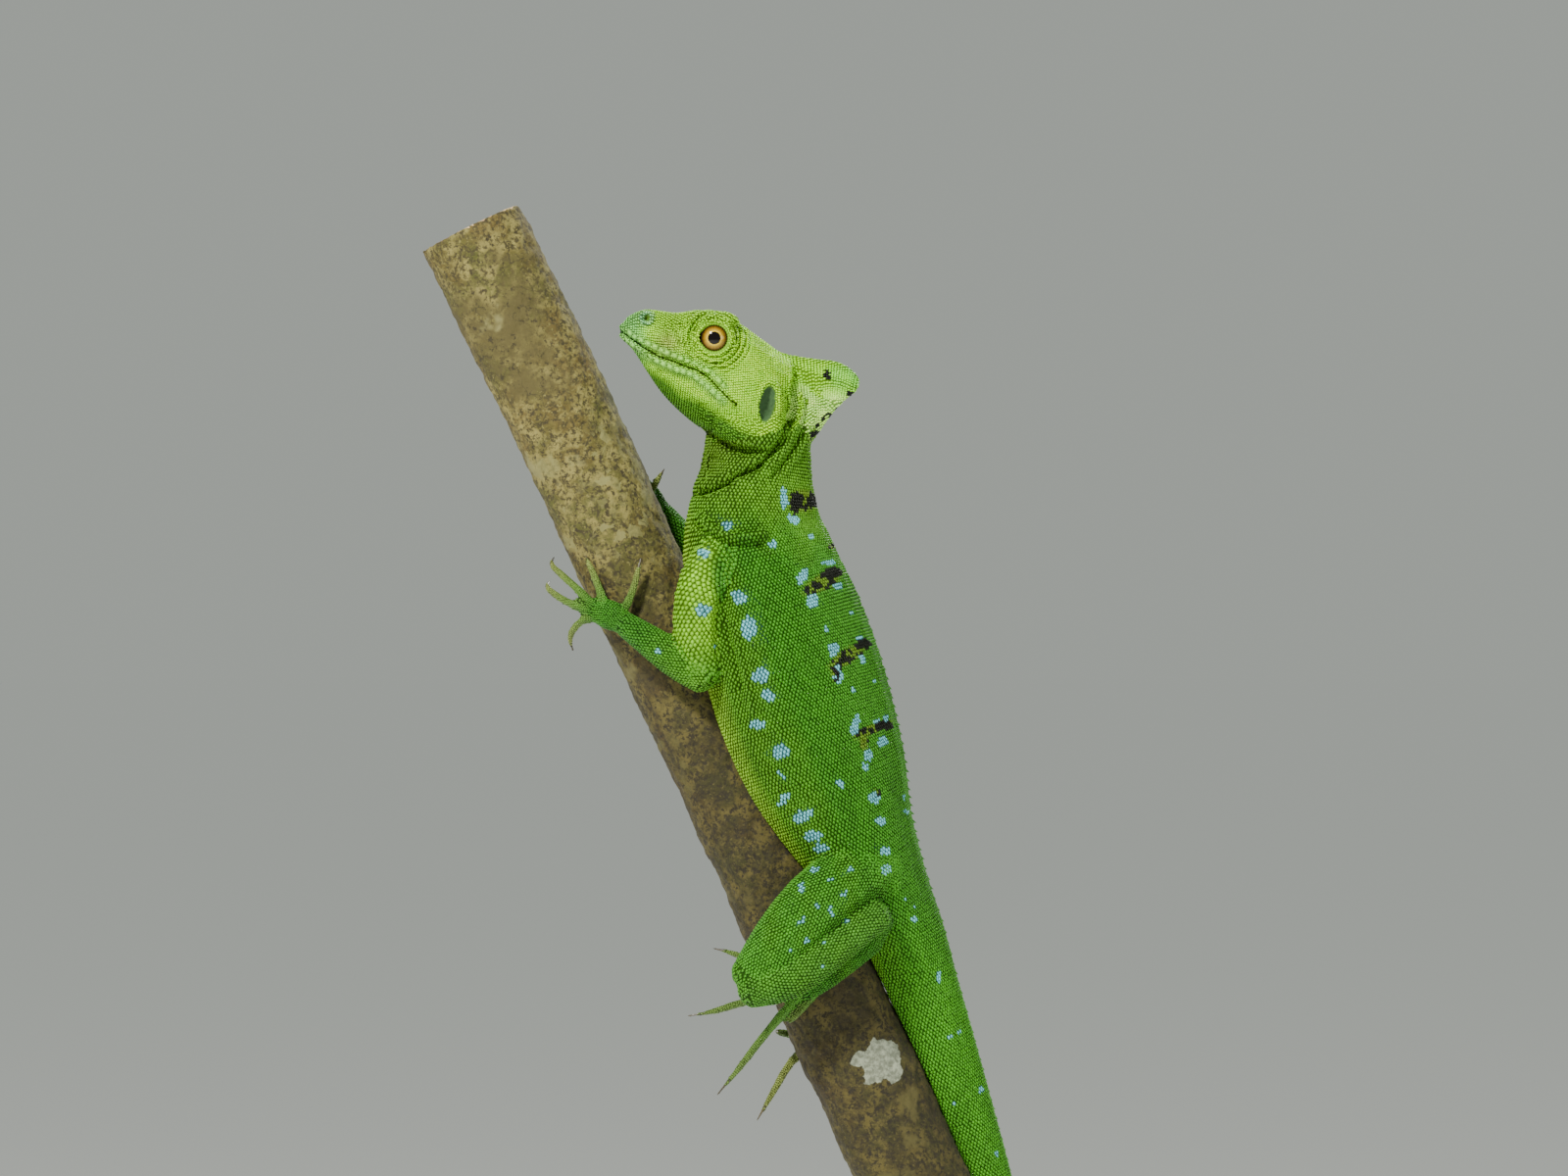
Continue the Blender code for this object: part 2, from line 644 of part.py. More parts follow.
def head_form(collection):
    rows = spline(HEAD, HEAD_RINGS)
    rings = []
    for top_x, top_z, low_x, low_z, wide in rows:
        top, low = placed(top_x, HEAD_Y, top_z), placed(low_x, HEAD_Y, low_z)
        centre = low.lerp(top, HEAD_CORE)
        up = (top - low).normalized()
        rings.append(section(
            centre, up, BACK, (top - centre).length, (low - centre).length, wide * MM, HEAD_SIDES,
            lambda a: 1 - 0.10 * max(0.0, math.cos(a)) ** 2 - 0.22 * max(0.0, -math.cos(a)) ** 2))
    return loft("head_form", rings, collection)


def ball(name, centre, radii, segments, rings, collection):
    def build(bm):
        bmesh.ops.create_uvsphere(bm, u_segments=segments, v_segments=rings, radius=1.0)
        for vert in bm.verts:
            vert.co = centre + Vector(vert.co[i] * radii[i] * MM for i in range(3))
    return mesh_object(name, build, collection)


def hoop(name, centre, radius, thick, collection, around=16, across=5):
    """A ring of flesh in an upright plane, such as an eyelid."""
    def build(bm):
        grid = []
        for i in range(around):
            a = 2 * math.pi * i / around
            out = Vector((math.cos(a), 0.0, math.sin(a) * LID_SQUASH))
            ring = []
            for k in range(across):
                b = 2 * math.pi * k / across
                ring.append(bm.verts.new(centre + out * ((radius + thick * math.cos(b)) * MM)
                                         + BACK * (thick * 1.2 * math.sin(b) * MM)))
            grid.append(ring)
        for i in range(around):
            low, high = grid[i], grid[(i + 1) % around]
            for k in range(across):
                j = (k + 1) % across
                bm.faces.new((low[k], low[j], high[j], high[k]))
    return mesh_object(name, build, collection)


def head_half_width(x):
    """The head's half width at a distance across the plane."""
    rows = [((row[0] + row[2]) / 2, row[4]) for row in HEAD]
    for (x0, w0), (x1, w1) in zip(rows, rows[1:]):
        if x <= x1:
            return w0 + (w1 - w0) * max(0.0, (x - x0) / (x1 - x0))
    return rows[-1][1]


def mouth_wedge(side, collection):
    """A thin strip along the mouth line that cuts a groove into one cheek."""
    rows = spline([(x, 0.0, z) for x, z in MOUTH], 2 * len(MOUTH))
    points = [placed(*row) for row in rows]
    rings = []
    for i, row in enumerate(rows):
        skin = HEAD_Y + side * max(0.4, head_half_width(row.x))
        outer = placed(row.x, skin + side * 2.5, row.z)
        inner = placed(row.x, skin - side * MOUTH_DEPTH, row.z)
        ahead = (points[min(i + 1, len(points) - 1)] - points[max(i - 1, 0)]).normalized()
        lift = ahead.cross(BACK).normalized() * (MOUTH_WIDTH * MM)
        rings.append([inner - lift * 0.6, outer - lift * 1.6, outer + lift * 1.6, inner + lift * 0.6])
    return loft("mouth", rings, collection)


def lip(side, over, points, collection):
    """A soft roll along the mouth line, above it (+) or below it (-)."""
    rows = [(x + 0.3, HEAD_Y + side * max(0.6, head_half_width(x) - 0.25), z + over, LIP_RADIUS, LIP_RADIUS)
            for x, z in points]
    return tube("lip", rows, LIP_SIDES, len(rows) + 2, collection, turns=DIGIT_TURNS)


def make_head(collection, cutters):
    """Head with brows, lids, lips, cheeks, nostrils and ear hollows; its eyes; its outline, a cutter."""
    pieces = [head_form(collection)]
    holes = []
    for side, name in ((-1, "left"), (1, "right")):
        y = HEAD_Y + side * EYE_OUT
        brow = placed(BROW[0], HEAD_Y + side * BROW_OUT, BROW[1])
        cheek = placed(CHEEK[0], HEAD_Y + side * CHEEK_OUT, CHEEK[1])
        snout = placed(SNOUT[0], HEAD_Y + side * SNOUT_OUT, SNOUT[1])
        pieces.append(ball("brow", brow, BROW_RADII, 12, 6, collection))
        pieces.append(ball("cheek", cheek, CHEEK_RADII, 12, 6, collection))
        pieces.append(ball("snout", snout, SNOUT_RADII, 10, 5, collection))
        lid = placed(EYE[0], y + side * LID_OUT, EYE[1])
        pieces.append(hoop("lid", lid, LID_RADIUS, LID_THICK, collection))
        pieces.append(lip(side, -1.0, MOUTH, collection))
        pieces.append(lip(side, 1.0, MOUTH[:-1], collection))
        ear_y = HEAD_Y + side * (head_half_width(EAR[0]) + 0.6)
        holes.append(mouth_wedge(side, cutters))
        nostril = placed(NOSTRIL[0], HEAD_Y + side * NOSTRIL_OUT, NOSTRIL[1])
        holes.append(ball("nostril", nostril, NOSTRIL_RADII, 8, 5, cutters))
        holes.append(ball("ear", placed(EAR[0], ear_y, EAR[1]), EAR_RADII, 12, 6, cutters))
        eye = ball("eye_" + name, placed(EYE[0], y, EYE[1]), (EYE_RADIUS,) * 3, *EYE_GRID, collection)
        holes.append(swollen(eye, cutters))
        dress(eye, "eye")
    head = joined("head", pieces, collection)
    outline = swollen(head, cutters)
    return dress(cut(head, [as_cutter(hole) for hole in holes]), "skin_head"), outline


def make_crest(collection):
    """The single lobe behind the head, thin at its rim."""
    rings = []
    for top_x, top_z, low_x, low_z, thick in spline(CREST, CREST_RINGS):
        top, low = placed(top_x, HEAD_Y, top_z), placed(low_x, HEAD_Y, low_z)
        half = (top - low).length / 2
        rings.append(section((top + low) / 2, (top - low).normalized(), BACK, half, half, thick * MM, CREST_SIDES,
                             lambda a: 1 - CREST_THIN * max(0.0, math.cos(a)) ** 3))
    return loft("crest", rings, collection)


def digit(name, points, radius, collection):
    """A finger or toe with swollen joints that ends in a hooked claw."""
    count = 2 * len(points) - 1
    rows = []
    for i, point in enumerate(spline(points, count)):
        share = i / (count - 1)
        if share < 1 - CLAW_SHARE:
            size = radius * (1.0 - 0.42 * share) * (1.0 + 0.08 * math.cos(share * 22))
        else:
            size = radius * 0.52 * (1 - (share - 1 + CLAW_SHARE) / CLAW_SHARE) + 0.16
        rows.append((*point, size, size))
    return tube(name, rows, DIGIT_SIDES, count, collection, turns=DIGIT_TURNS)


def make_paw(name, palm, digits, radius, collection):
    pieces = [tube(name, palm, *PALM_GRID, collection, turns=PALM_TURNS)]
    for points in digits:
        pieces.append(digit("digit", points, radius, collection))
    return joined(name, pieces, collection)


def make_limb(side, names, forms, digits, radius, fixed, collection, cutters):
    """Upper length, lower length and paw, each cut clear of what it meets."""
    upper = tube(f"{names[0]}_{side}", forms[0], LIMB_SIDES, LIMB_RINGS, collection)
    lower = tube(f"{names[1]}_{side}", forms[1], LIMB_SIDES, LIMB_RINGS, collection)
    paw = make_paw(f"{names[2]}_{side}", forms[2], digits, radius, collection)
    cut(lower, fixed)
    lower_cutter = swollen(lower, cutters)
    cut(upper, fixed + [lower_cutter])
    upper_cutter = swollen(upper, cutters)
    cut(paw, fixed + [lower_cutter, upper_cutter])
    return [dress(item, "skin_limb") for item in (upper, lower, paw)]


def make_stand(collection, cutters, branch):
    """A flat base with rounded corners, and one rod socketed in the branch's lower cut."""
    bpy.ops.mesh.primitive_cube_add(size=1.0)
    base = bpy.context.object
    base.name = "stand_base"
    base.data.transform(base.matrix_world)
    for vert in base.data.vertices:
        vert.co = Vector((vert.co.x * BASE_LENGTH, vert.co.y * BASE_WIDTH,
                          (vert.co.z + 0.5) * BASE_THICK)) * MM
    bm = bmesh.new()
    bm.from_mesh(base.data)
    upright = [e for e in bm.edges if abs(e.verts[0].co.z - e.verts[1].co.z) > 0.5 * BASE_THICK * MM]
    bmesh.ops.bevel(bm, geom=upright, offset=BASE_CORNER * MM, segments=6, profile=0.5, affect="EDGES")
    top = [e for e in bm.edges if all(v.co.z > (BASE_THICK - 0.1) * MM for v in e.verts)]
    bmesh.ops.bevel(bm, geom=top, offset=BASE_EDGE * MM, segments=2, profile=0.5, affect="EDGES")
    bm.to_mesh(base.data)
    bm.free()
    foot_x, foot_z = BRANCH_AXIS[0]
    rod_top = foot_z + ROD_SOCKET + LIFT
    height = rod_top - BASE_THICK - GAP
    bpy.ops.mesh.primitive_cylinder_add(vertices=24, radius=ROD_RADIUS * MM, depth=height * MM)
    rod = bpy.context.object
    rod.name = "stand_rod"
    rod.data.transform(rod.matrix_world)
    for vert in rod.data.vertices:
        vert.co += Vector((foot_x, 0.0, BASE_THICK + GAP + height / 2)) * MM
    rod.matrix_world.identity()
    for item in (base, rod):
        for old in list(item.users_collection):
            old.objects.unlink(item)
        collection.objects.link(item)
    socket = swollen(rod, cutters)
    cut(branch, [socket])
    dress(base, "stand_wood")
    dress(rod, "stand_metal")
    dress(branch, "bark")


def make_lengths(rows, whole_cutters, collection):
    """Neck, torso and four lengths of tail, with their keel, cut clear of what they meet."""
    marks = [0] + [row_at(rows, height) for height in TRUNK_CUTS] + [len(rows) - 1]
    lengths = []
    for name, first, last in zip(TRUNK_NAMES, marks, marks[1:]):
        body = trunk_length(name, rows, first, last, collection)
        teeth = keel_teeth(rows[first][1], rows[last][1], collection)
        lengths.append(cut(joined(name, [body] + teeth, collection), whole_cutters.get(name, [])))
    return lengths


def main():
    clear_scene()
    parts = new_collection("green_basilisk")
    cutters = new_collection("cutters")
    branch = make_branch(parts)
    branch_cutter = swollen(branch, cutters)
    head_cutter = make_head(parts, cutters)[1]

    rows = spline([(x, z, depth, wide, y) for x, z, depth, wide, y in TRUNK], TRUNK_RINGS)
    whole = loft("trunk", [trunk_ring(rows, i) for i in range(len(rows))], cutters)
    trunk_cutter = swollen(as_cutter(whole), cutters)
    touching = {
        "neck": [head_cutter, branch_cutter],
        "torso": [branch_cutter],
        "tail_base": [branch_cutter],
    }
    lengths = make_lengths(rows, touching, parts)
    crest = cut(make_crest(parts), [swollen(lengths[0], cutters), head_cutter])
    dress(crest, "skin_head")
    for item in lengths:
        dress(item, "skin")

    limbs = (
        ("left", ARM_NAMES, (UPPER_ARM_LEFT, FOREARM_LEFT, PALM_LEFT), FINGERS_LEFT, FINGER_RADIUS),
        ("right", ARM_NAMES, (UPPER_ARM_RIGHT, FOREARM_RIGHT, PALM_RIGHT), FINGERS_RIGHT, FINGER_RADIUS),
        ("left", LEG_NAMES, (THIGH_LEFT, SHANK_LEFT, FOOT_LEFT), TOES_LEFT, TOE_RADIUS),
        ("right", LEG_NAMES, (THIGH_RIGHT, SHANK_RIGHT, FOOT_RIGHT), TOES_RIGHT, TOE_RADIUS),
    )
    fixed = [trunk_cutter, branch_cutter]
    for side, names, forms, digits, radius in limbs:
        make_limb(side, names, forms, digits, radius, fixed, parts, cutters)
    make_stand(parts, cutters, branch)


main()
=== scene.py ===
import json
import math
import random

import bmesh
import bpy
import numpy as np
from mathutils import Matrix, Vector
from mathutils.bvhtree import BVHTree
from mathutils.kdtree import KDTree

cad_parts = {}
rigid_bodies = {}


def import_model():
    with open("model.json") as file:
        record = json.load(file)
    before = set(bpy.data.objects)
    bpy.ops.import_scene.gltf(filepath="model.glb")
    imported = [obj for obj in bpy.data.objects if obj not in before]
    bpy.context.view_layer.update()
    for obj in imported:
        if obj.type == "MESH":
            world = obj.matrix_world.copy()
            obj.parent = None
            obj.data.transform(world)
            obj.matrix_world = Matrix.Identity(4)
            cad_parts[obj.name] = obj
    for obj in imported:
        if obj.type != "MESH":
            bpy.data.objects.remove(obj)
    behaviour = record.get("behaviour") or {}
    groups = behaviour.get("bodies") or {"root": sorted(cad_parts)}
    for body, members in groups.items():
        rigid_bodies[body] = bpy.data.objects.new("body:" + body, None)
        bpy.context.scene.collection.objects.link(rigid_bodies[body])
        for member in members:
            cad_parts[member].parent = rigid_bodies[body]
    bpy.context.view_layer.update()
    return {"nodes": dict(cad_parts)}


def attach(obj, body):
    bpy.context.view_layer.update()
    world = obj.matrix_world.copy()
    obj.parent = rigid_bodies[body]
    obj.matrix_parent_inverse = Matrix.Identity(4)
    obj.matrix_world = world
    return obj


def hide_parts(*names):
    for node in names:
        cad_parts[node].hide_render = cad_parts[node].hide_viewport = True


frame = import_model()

# A life-size green basilisk that grips a cut length of branch, on a plain display stand.
# Stations are millimetres on the picture plane: x runs across, z is the height above a datum that
# lies "lift" over the floor, and y is in front of (-) or behind (+) the axis of the branch.
mm = 0.001
lift = 288.0
photoScale = {"mmPerPixel": 0.22, "centreX": 845.0, "datumY": 1200.0}    # the photograph's frame
backward = np.array((0.0, 1.0, 0.0))

stations = {
    "trunk": (
        (-15.6, 168.5, 23.4, 7.2, -6.0),
        (-15.9, 161.0, 24.2, 8.2, -6.2),
        (-16.6, 153.0, 27.4, 9.4, -6.6),
        (-16.6, 144.0, 32.0, 11.2, -7.0),
        (-14.5, 134.0, 35.5, 12.8, -7.6),
        (-11.0, 123.0, 38.5, 13.6, -8.0),
        (-7.5, 111.0, 40.0, 14.2, -8.2),
        (-4.0, 100.0, 39.0, 14.4, -8.2),
        (0.0, 89.5, 36.0, 13.6, -7.8),
        (4.5, 79.0, 30.0, 12.0, -6.8),
        (9.0, 70.5, 24.5, 10.8, -5.2),
        (13.0, 63.0, 20.5, 9.4, -3.4),
        (17.0, 54.0, 18.4, 7.8, -1.6),
        (20.8, 42.0, 17.2, 6.6, 0.2),
        (24.8, 30.5, 15.8, 5.8, 2.0),
        (29.8, 17.0, 13.4, 5.0, 4.6),
        (36.4, -1.0, 10.0, 4.2, 8.6),
        (41.5, -20.0, 8.6, 3.7, 11.4),
        (45.0, -40.0, 7.6, 3.3, 12.6),
        (48.0, -62.0, 6.6, 2.9, 12.8),
        (49.6, -84.0, 5.8, 2.6, 12.0),
        (49.4, -106.0, 5.1, 2.3, 10.4),
        (47.0, -128.0, 4.5, 2.05, 8.2),
        (44.0, -150.0, 4.0, 1.85, 5.6),
        (41.4, -172.0, 3.5, 1.65, 3.0),
        (41.2, -194.0, 3.1, 1.45, 0.6),
        (44.6, -215.0, 2.7, 1.3, -1.6),
        (52.0, -234.0, 2.3, 1.1, -3.6),
        (62.5, -249.0, 2.0, 0.95, -5.4),
        (75.0, -260.0, 1.7, 0.8, -6.8),
        (88.0, -265.5, 1.4, 0.66, -8.0),
        (101.0, -264.0, 1.1, 0.52, -9.0),
        (110.0, -257.0, 0.9, 0.42, -9.6),
    ),
    "head": (
        (-46.2, 190.8, -46.2, 189.4, 0.9),
        (-45.4, 192.3, -45.6, 187.6, 2.2),
        (-43.0, 193.8, -43.5, 184.9, 3.5),
        (-39.6, 194.3, -41.0, 181.0, 4.5),
        (-34.0, 193.6, -37.0, 175.2, 5.7),
        (-29.5, 194.2, -32.2, 170.4, 7.2),
        (-24.8, 194.0, -27.2, 166.8, 8.5),
        (-20.2, 191.6, -21.8, 164.4, 9.3),
        (-15.8, 188.4, -16.0, 163.0, 9.7),
        (-11.4, 185.2, -11.4, 164.6, 8.8),
        (-8.0, 182.6, -8.6, 168.6, 6.9),
    ),
    "crest": (
        (-17.0, 188.0, -9.0, 166.0, 4.6),
        (-10.0, 184.8, -5.5, 163.0, 3.4),
        (-3.5, 183.6, -2.5, 166.0, 2.1),
        (2.0, 182.9, 0.8, 170.6, 1.3),
        (5.2, 181.2, 4.0, 174.0, 0.85),
        (7.0, 178.9, 6.4, 176.0, 0.6),
    ),
    "upperArmLeft": (
        (-19.0, -11.5, 139.5, 6.6, 5.2), (-25.5, -15.2, 136.0, 6.6, 5.4), (-29.3, -17.2, 128.5, 5.2, 5.0),
        (-29.4, -17.4, 119.5, 4.8, 4.6), (-27.8, -17.0, 113.0, 4.2, 4.1),
    ),
    "forearmLeft": (
        (-27.8, -17.0, 112.6, 4.1, 4.0), (-33.5, -17.1, 116.0, 4.2, 3.9),
        (-40.0, -16.6, 120.4, 3.5, 3.2), (-45.6, -15.2, 124.2, 2.7, 2.5),
    ),
    "palmLeft": (
        (-45.6, -14.9, 124.2, 2.7, 2.3), (-49.0, -13.2, 126.2, 3.5, 2.0), (-52.0, -11.6, 127.2, 2.6, 1.7),
    ),
    "fingersLeft": (
        ((-46.5, -14.2, 125.6), (-44.6, -14.0, 128.8), (-43.2, -13.8, 132.6),
         (-42.4, -13.9, 136.0), (-41.8, -13.5, 138.4)),
        ((-49.6, -12.9, 127.4), (-50.8, -12.2, 131.2), (-52.2, -11.4, 134.8),
         (-53.4, -10.6, 137.4), (-54.2, -9.4, 139.6)),
        ((-51.6, -11.7, 127.6), (-55.6, -9.4, 131.4), (-59.4, -6.4, 134.8),
         (-62.0, -3.0, 137.2), (-61.6, 0.4, 138.8)),
        ((-52.0, -11.6, 126.6), (-56.8, -9.4, 128.2), (-60.6, -6.0, 130.2),
         (-63.0, -2.4, 132.2), (-62.6, 1.0, 133.6)),
        ((-50.4, -12.4, 125.2), (-53.8, -11.0, 125.2), (-56.4, -8.4, 123.4),
         (-57.8, -5.8, 120.6), (-57.2, -4.0, 118.2)),
    ),
    "upperArmRight": (
        (-19.0, -4.0, 139.5, 6.0, 5.0), (-22.0, 3.0, 137.5, 5.6, 5.0),
        (-24.0, 9.0, 135.0, 4.6, 4.4), (-25.0, 12.4, 133.0, 4.0, 4.0),
    ),
    "forearmRight": (
        (-25.0, 12.6, 132.6, 3.9, 3.8), (-29.0, 12.6, 138.0, 4.0, 3.8),
        (-34.0, 11.8, 144.4, 3.4, 3.2), (-38.0, 10.8, 149.4, 2.7, 2.5),
    ),
    "palmRight": (
        (-38.0, 10.8, 149.4, 2.7, 2.3), (-41.2, 11.2, 153.2, 3.3, 2.0), (-44.0, 12.2, 156.0, 2.6, 1.7),
    ),
    "fingersRight": (
        ((-42.0, 10.6, 150.4), (-40.6, 9.2, 152.8), (-39.2, 7.9, 155.0),
         (-38.0, 6.9, 157.0), (-37.0, 6.2, 158.6)),
        ((-43.6, 12.2, 156.0), (-45.8, 12.8, 161.0), (-48.0, 12.8, 165.6),
         (-49.4, 12.6, 169.4), (-50.6, 11.8, 171.8)),
        ((-44.4, 12.6, 156.4), (-50.0, 14.0, 161.8), (-55.0, 14.2, 167.0),
         (-58.6, 13.9, 171.0), (-61.0, 13.0, 173.4)),
        ((-44.4, 12.8, 155.6), (-52.0, 14.2, 159.6), (-58.6, 13.9, 163.4),
         (-63.6, 12.4, 166.2), (-66.6, 10.4, 167.2)),
        ((-43.4, 12.6, 154.2), (-48.6, 13.9, 152.6), (-53.4, 14.0, 153.0),
         (-57.4, 13.2, 154.6), (-59.8, 11.8, 155.4)),
    ),
    "thighLeft": (
        (12.5, -7.5, 71.0, 7.6, 5.6), (4.5, -14.0, 66.8, 8.3, 6.4), (-3.5, -18.6, 60.4, 8.3, 6.3),
        (-11.0, -20.2, 52.6, 7.0, 5.7), (-17.2, -19.8, 45.6, 5.0, 4.8),
    ),
    "shankLeft": (
        (-17.0, -20.6, 43.2, 4.3, 4.3), (-9.0, -21.4, 45.2, 4.6, 4.3),
        (0.0, -20.4, 51.2, 4.3, 4.0), (7.6, -18.0, 57.0, 3.8, 3.5), (11.2, -15.8, 59.2, 3.5, 3.2),
    ),
    "footLeft": (
        (11.6, -13.8, 58.4, 3.2, 2.9), (10.0, -12.6, 53.8, 3.0, 2.6), (5.4, -12.8, 49.8, 2.8, 2.2),
        (0.0, -14.6, 46.0, 3.0, 2.1), (-5.6, -14.4, 42.8, 3.2, 1.9),
    ),
    "toesLeft": (
        ((-3.6, -14.4, 45.0), (-7.0, -14.2, 48.4), (-9.6, -13.8, 51.6), (-11.4, -13.2, 54.0)),
        ((-5.0, -14.4, 43.8), (-11.4, -13.4, 46.4), (-17.0, -11.2, 48.8),
         (-21.8, -8.8, 50.6), (-25.4, -7.4, 51.4)),
        ((-5.8, -14.3, 42.8), (-13.0, -13.2, 41.2), (-20.0, -11.8, 39.4),
         (-25.6, -10.8, 37.6), (-31.0, -10.2, 36.6)),
        ((-6.0, -14.2, 42.2), (-10.6, -12.4, 36.8), (-15.4, -9.8, 30.8),
         (-20.2, -8.2, 24.4), (-24.6, -7.6, 19.0)),
        ((-1.4, -14.6, 44.6), (-4.4, -13.4, 40.2), (-7.2, -12.4, 36.8), (-9.2, -11.0, 34.6)),
    ),
    "thighRight": (
        (12.0, -2.0, 70.5, 7.4, 5.4), (6.4, 8.0, 65.2, 7.8, 5.8), (-0.6, 16.6, 59.0, 7.4, 5.8),
        (-7.4, 19.6, 53.0, 6.2, 5.3), (-12.6, 19.8, 48.4, 4.7, 4.5),
    ),
    "shankRight": (
        (-12.4, 20.0, 46.0, 4.2, 4.2), (-6.0, 19.6, 42.4, 4.4, 4.1),
        (2.0, 18.6, 38.0, 4.0, 3.7), (9.4, 16.8, 35.0, 3.3, 3.0),
    ),
    "footRight": (
        (9.8, 16.4, 34.6, 3.1, 2.8), (7.6, 15.4, 31.2, 2.9, 2.4), (3.4, 14.7, 29.2, 2.9, 2.1),
        (-1.2, 14.5, 28.0, 3.1, 1.9),
    ),
    "toesRight": (
        ((0.4, 14.7, 29.6), (-0.4, 14.7, 34.0), (-2.4, 14.5, 37.4), (-4.2, 13.9, 39.8)),
        ((-0.8, 14.5, 29.0), (-4.4, 13.7, 33.6), (-7.4, 12.0, 37.2),
         (-9.8, 10.6, 40.0), (-11.4, 8.8, 41.8)),
        ((-1.4, 14.4, 28.4), (-5.8, 12.8, 30.2), (-9.2, 9.0, 31.4), (-11.2, 4.6, 32.0), (-11.4, 1.2, 32.6)),
        ((-1.4, 14.4, 27.6), (-5.6, 12.6, 27.0), (-8.8, 9.0, 24.2), (-12.2, 6.4, 18.6), (-15.8, 5.0, 12.4)),
        ((1.4, 14.8, 28.2), (1.4, 14.3, 24.4), (0.4, 13.8, 20.8), (-0.8, 12.8, 18.4)),
    ),
}


def fromPhoto(px, py):    # a pixel of the photograph, in millimetres on the picture plane
    step = photoScale["mmPerPixel"]
    return (px - photoScale["centreX"]) * step, (photoScale["datumY"] - py) * step


def inRow(points):    # stations in millimetres to metres above the floor
    points = np.asarray(points, float)
    return (points + np.array((0.0, 0.0, lift))) * mm


def smoothRows(rows, count):    # count rows on a smooth curve through the given ones
    rows = np.asarray(rows, float)
    ends = np.vstack((2 * rows[0] - rows[1], rows, 2 * rows[-1] - rows[-2]))
    steps = np.linalg.norm(np.diff(rows, axis=0), axis=1)
    starts = np.concatenate(((0.0,), np.cumsum(steps)))
    made = []
    for reach in np.linspace(0.0, starts[-1], count):
        span = min(int(np.searchsorted(starts, reach, "right")) - 1, len(steps) - 1)
        t = min(1.0, (reach - starts[span]) / steps[span])
        a, b, c, d = ends[span:span + 4]
        made.append(0.5 * (2 * b + (c - a) * t + (2 * a - 5 * b + 4 * c - d) * t * t
                           + (3 * b - a - 3 * c + d) * t * t * t))
    return np.array(made)


def unit(vectors):
    return vectors / np.maximum(np.linalg.norm(vectors, axis=-1, keepdims=True), 1e-12)


def makeAxis(name, points, halfUp, halfSide, up=None):    # a body's middle line with its frames
    ahead = unit(np.gradient(points, axis=0))
    side = np.zeros_like(points)
    guide = backward
    for i, way in enumerate(ahead):
        side[i] = unit(guide - way * guide.dot(way))
        guide = side[i]
    run = np.concatenate(((0.0,), np.cumsum(np.linalg.norm(np.diff(points, axis=0), axis=1))))
    return {"name": name, "centre": points, "ahead": ahead, "side": side, "run": run,
            "up": np.cross(ahead, side) if up is None else up,
            "halfUp": np.asarray(halfUp) * mm, "halfSide": np.asarray(halfSide) * mm}


digitForm = {"fingerRadius": 1.25, "toeRadius": 1.35, "clawShare": 0.2}
rowCount = {"trunk": 420, "head": 90, "crest": 50, "limb": 40, "digit": 30}


def digitRadius(share, radius):    # thins towards the claw, with a swelling at each joint
    flesh = radius * (1 - 0.42 * share) * (1 + 0.08 * np.cos(share * 22))
    claw = radius * 0.52 * (1 - share) / digitForm["clawShare"] + 0.16
    return np.where(share < 1 - digitForm["clawShare"], flesh, np.minimum(flesh, claw))


def makeAxes():
    made = []
    rows = smoothRows([(x, z, deep, wide, y) for x, z, deep, wide, y in stations["trunk"]], rowCount["trunk"])
    made.append(makeAxis("trunk", inRow(rows[:, (0, 4, 1)]), rows[:, 2] / 2, rows[:, 3]))
    for name, middle in (("head", 0.46), ("crest", 0.5)):
        count = rowCount[name]
        rows = smoothRows(stations[name], count)
        y = np.full((count, 1), headForm["y"])
        top = inRow(np.hstack((rows[:, 0:1], y, rows[:, 1:2])))
        low = inRow(np.hstack((rows[:, 2:3], y, rows[:, 3:4])))
        half = np.linalg.norm(top - low, axis=1) / 2 / mm
        made.append(makeAxis(name, low + (top - low) * middle, half, rows[:, 4], unit(top - low)))
    for limb in ("upperArm", "forearm", "palm", "thigh", "shank", "foot"):
        for hand in ("Left", "Right"):
            rows = smoothRows(stations[limb + hand], rowCount["limb"])
            made.append(makeAxis(limb + hand, inRow(rows[:, :3]), rows[:, 3], rows[:, 4]))
    for digits, radius in (("fingers", digitForm["fingerRadius"]), ("toes", digitForm["toeRadius"])):
        for hand in ("Left", "Right"):
            for number, points in enumerate(stations[digits + hand]):
                rows = smoothRows(points, rowCount["digit"])
                size = digitRadius(np.linspace(0, 1, len(rows)), radius)
                made.append(makeAxis(f"{digits}{hand}{number}", inRow(rows), size, size))
    return made


def bodyCoordinates(axis, points):    # nearest row, place round it, and distance outside the form
    nearest = np.zeros(len(points), int)
    for start in range(0, len(points), 4000):
        part = points[start:start + 4000]
        gaps = ((part[:, None, :] - axis["centre"][None]) ** 2).sum(2)
        nearest[start:start + 4000] = gaps.argmin(1)
    offset = points - axis["centre"][nearest]
    rise = (offset * axis["up"][nearest]).sum(1) / axis["halfUp"][nearest]
    out = (offset * axis["side"][nearest]).sum(1) / axis["halfSide"][nearest]
    past = (offset * axis["ahead"][nearest]).sum(1)
    thin = np.minimum(axis["halfUp"], axis["halfSide"])[nearest]
    beyond = (np.sqrt(rise ** 2 + out ** 2 + (past / thin) ** 2) - 1) * thin
    return nearest, np.arctan2(out, rise), beyond


